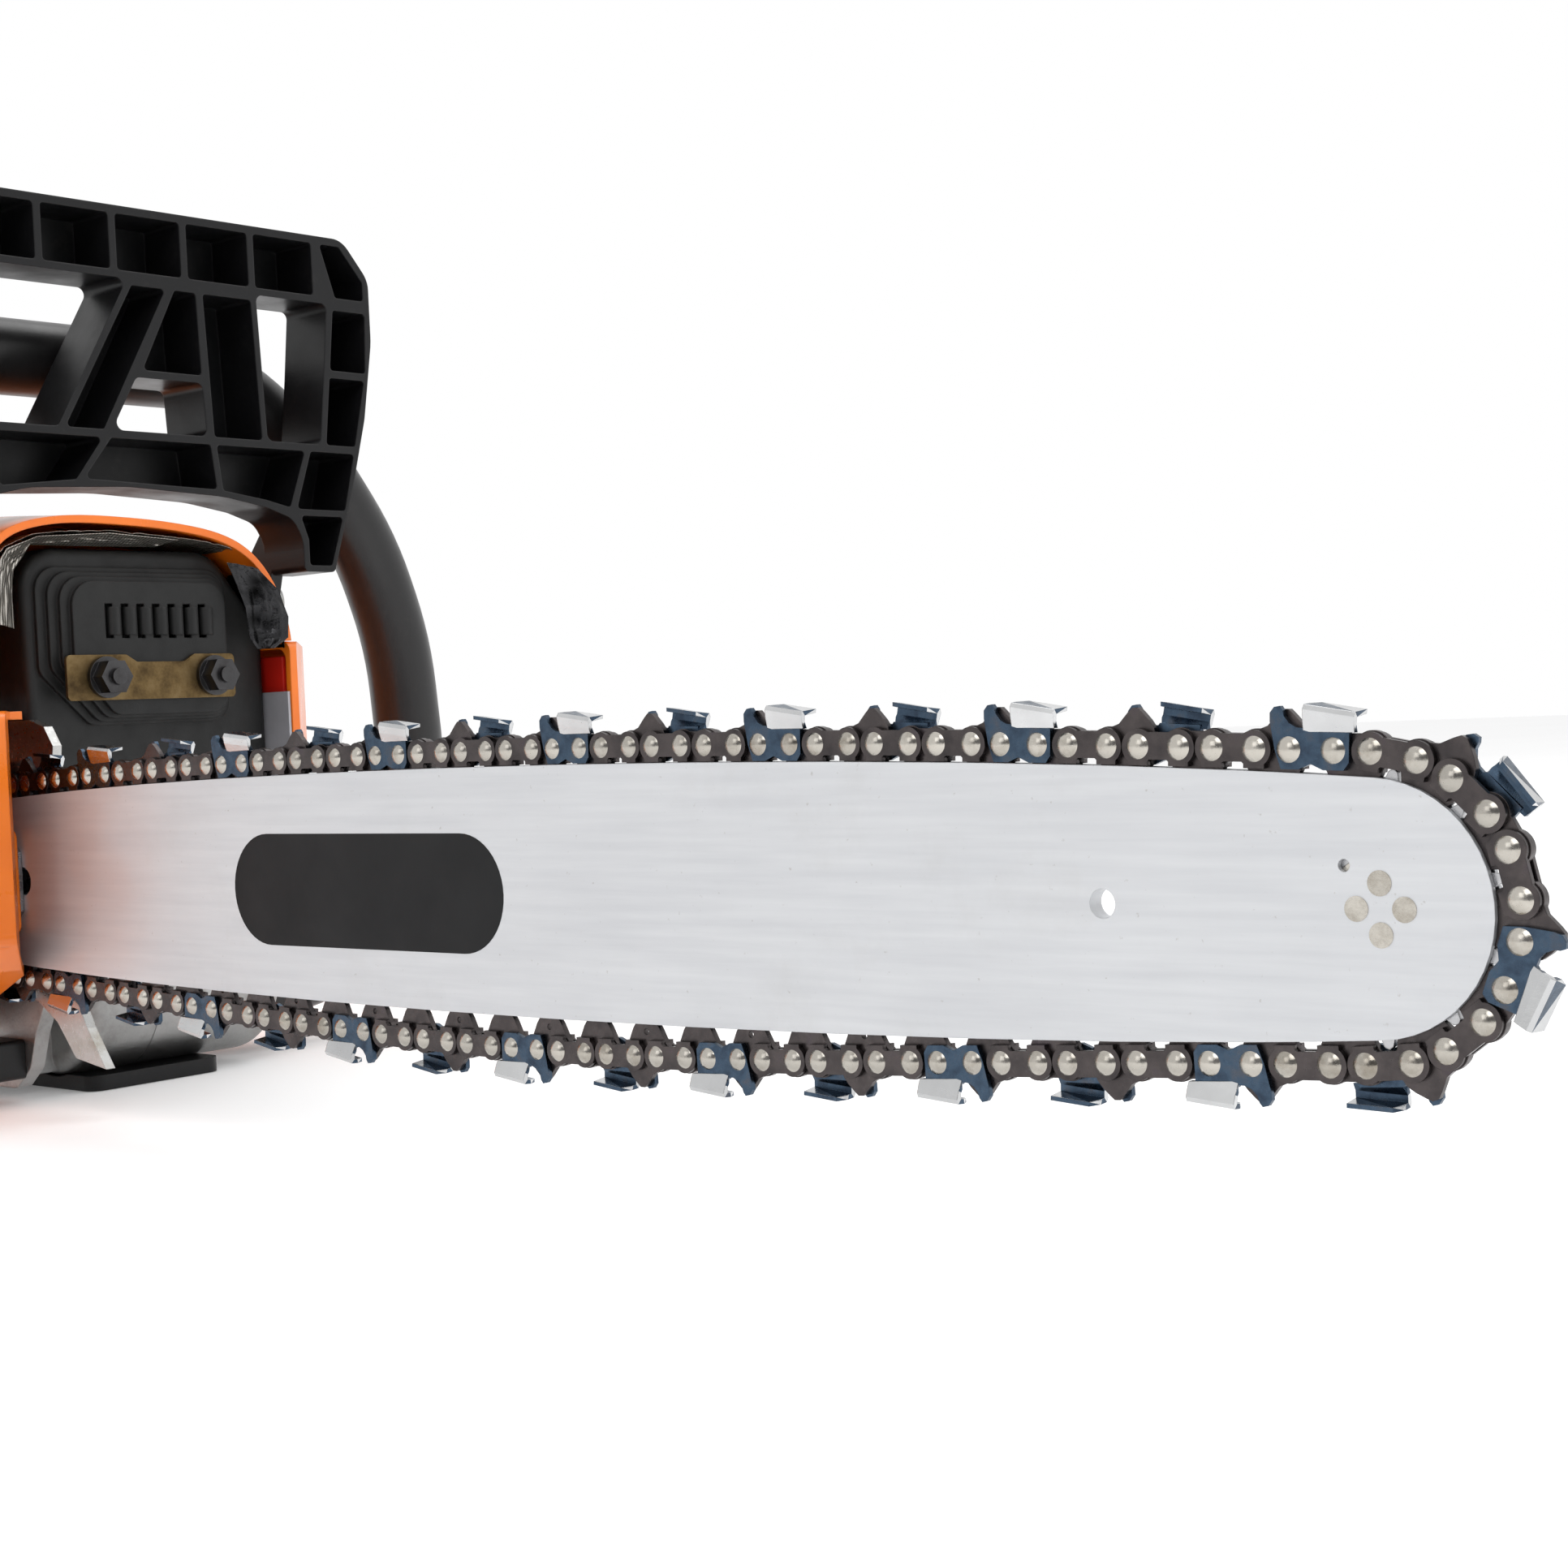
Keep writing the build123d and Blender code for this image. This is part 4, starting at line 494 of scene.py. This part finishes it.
# ------------------------------------------------------------------ stage, light and camera
def shade_world(world):
    """White studio, darker for light coming from the camera's side; the camera sees only white."""
    world.use_nodes = True
    nodes, links = world.node_tree.nodes, world.node_tree.links
    background = nodes["Background"]
    direction = nodes.new("ShaderNodeTexCoord").outputs["Generated"]
    toward = nodes.new("ShaderNodeVectorMath")
    toward.operation = "DOT_PRODUCT"
    toward.inputs[1].default_value = DARK_SIDE
    links.new(direction, toward.inputs[0])
    ramp = nodes.new("ShaderNodeValToRGB")
    for element, position, color in zip(ramp.color_ramp.elements, DARK_FADE, (WHITE, UNLIT)):
        element.position = position
        element.color = color
    links.new(toward.outputs["Value"], ramp.inputs["Fac"])
    seen = nodes.new("ShaderNodeLightPath").outputs["Is Camera Ray"]
    choose = nodes.new("ShaderNodeMix")
    choose.data_type = "RGBA"
    sockets = {s.name: s for s in choose.inputs if s.enabled}
    links.new(seen, sockets["Factor"])
    links.new(ramp.outputs["Color"], sockets["A"])
    sockets["B"].default_value = WHITE
    links.new(next(s for s in choose.outputs if s.enabled), background.inputs["Color"])


def studio():
    """Pale floor, white world and three soft lamps."""
    bpy.ops.mesh.primitive_plane_add(size=FLOOR_SIZE, location=(0.2, 0, FLOOR_Z))
    floor = bpy.context.object
    floor.name = "studio_floor"
    pale = Shader("studio_floor", (0.93, 0.93, 0.93), 0.9, specular=0.0)
    pale.base(pale.ramp(pale.noise(3, 2), [(0.3, 0.925), (0.7, 0.945)]))
    pale.bsdf.inputs["Emission Color"].default_value = WHITE
    pale.bsdf.inputs["Emission Strength"].default_value = 0.13
    floor.data.materials.append(pale.material)
    world = bpy.data.worlds.new("studio")
    bpy.context.scene.world = world
    shade_world(world)
    for name, place, target, width, power in LAMPS:
        data = bpy.data.lights.new(name, "AREA")
        data.size = width
        data.energy = power
        lamp = bpy.data.objects.new(name, data)
        lamp.location = place
        lamp.rotation_euler = (Vector(target) - Vector(place)).to_track_quat("-Z", "Y").to_euler()
        bpy.context.scene.collection.objects.link(lamp)
    bpy.context.scene.view_settings.view_transform = "Standard"


def camera():
    """Low in front of the bar's nose, looking back along it from the clutch side."""
    data = bpy.data.cameras.new("camera")
    data.sensor_width = CAMERA_SENSOR
    data.lens = CAMERA_LENS
    data.clip_start = 0.01
    cam = bpy.data.objects.new("camera", data)
    bpy.context.scene.collection.objects.link(cam)
    turn = Matrix((CAMERA_RIGHT, CAMERA_UP, CAMERA_BACK)).transposed()
    cam.matrix_world = Matrix.Translation(CAMERA_PLACE) @ turn.to_4x4()
    bpy.context.scene.camera = cam


studio()
camera()
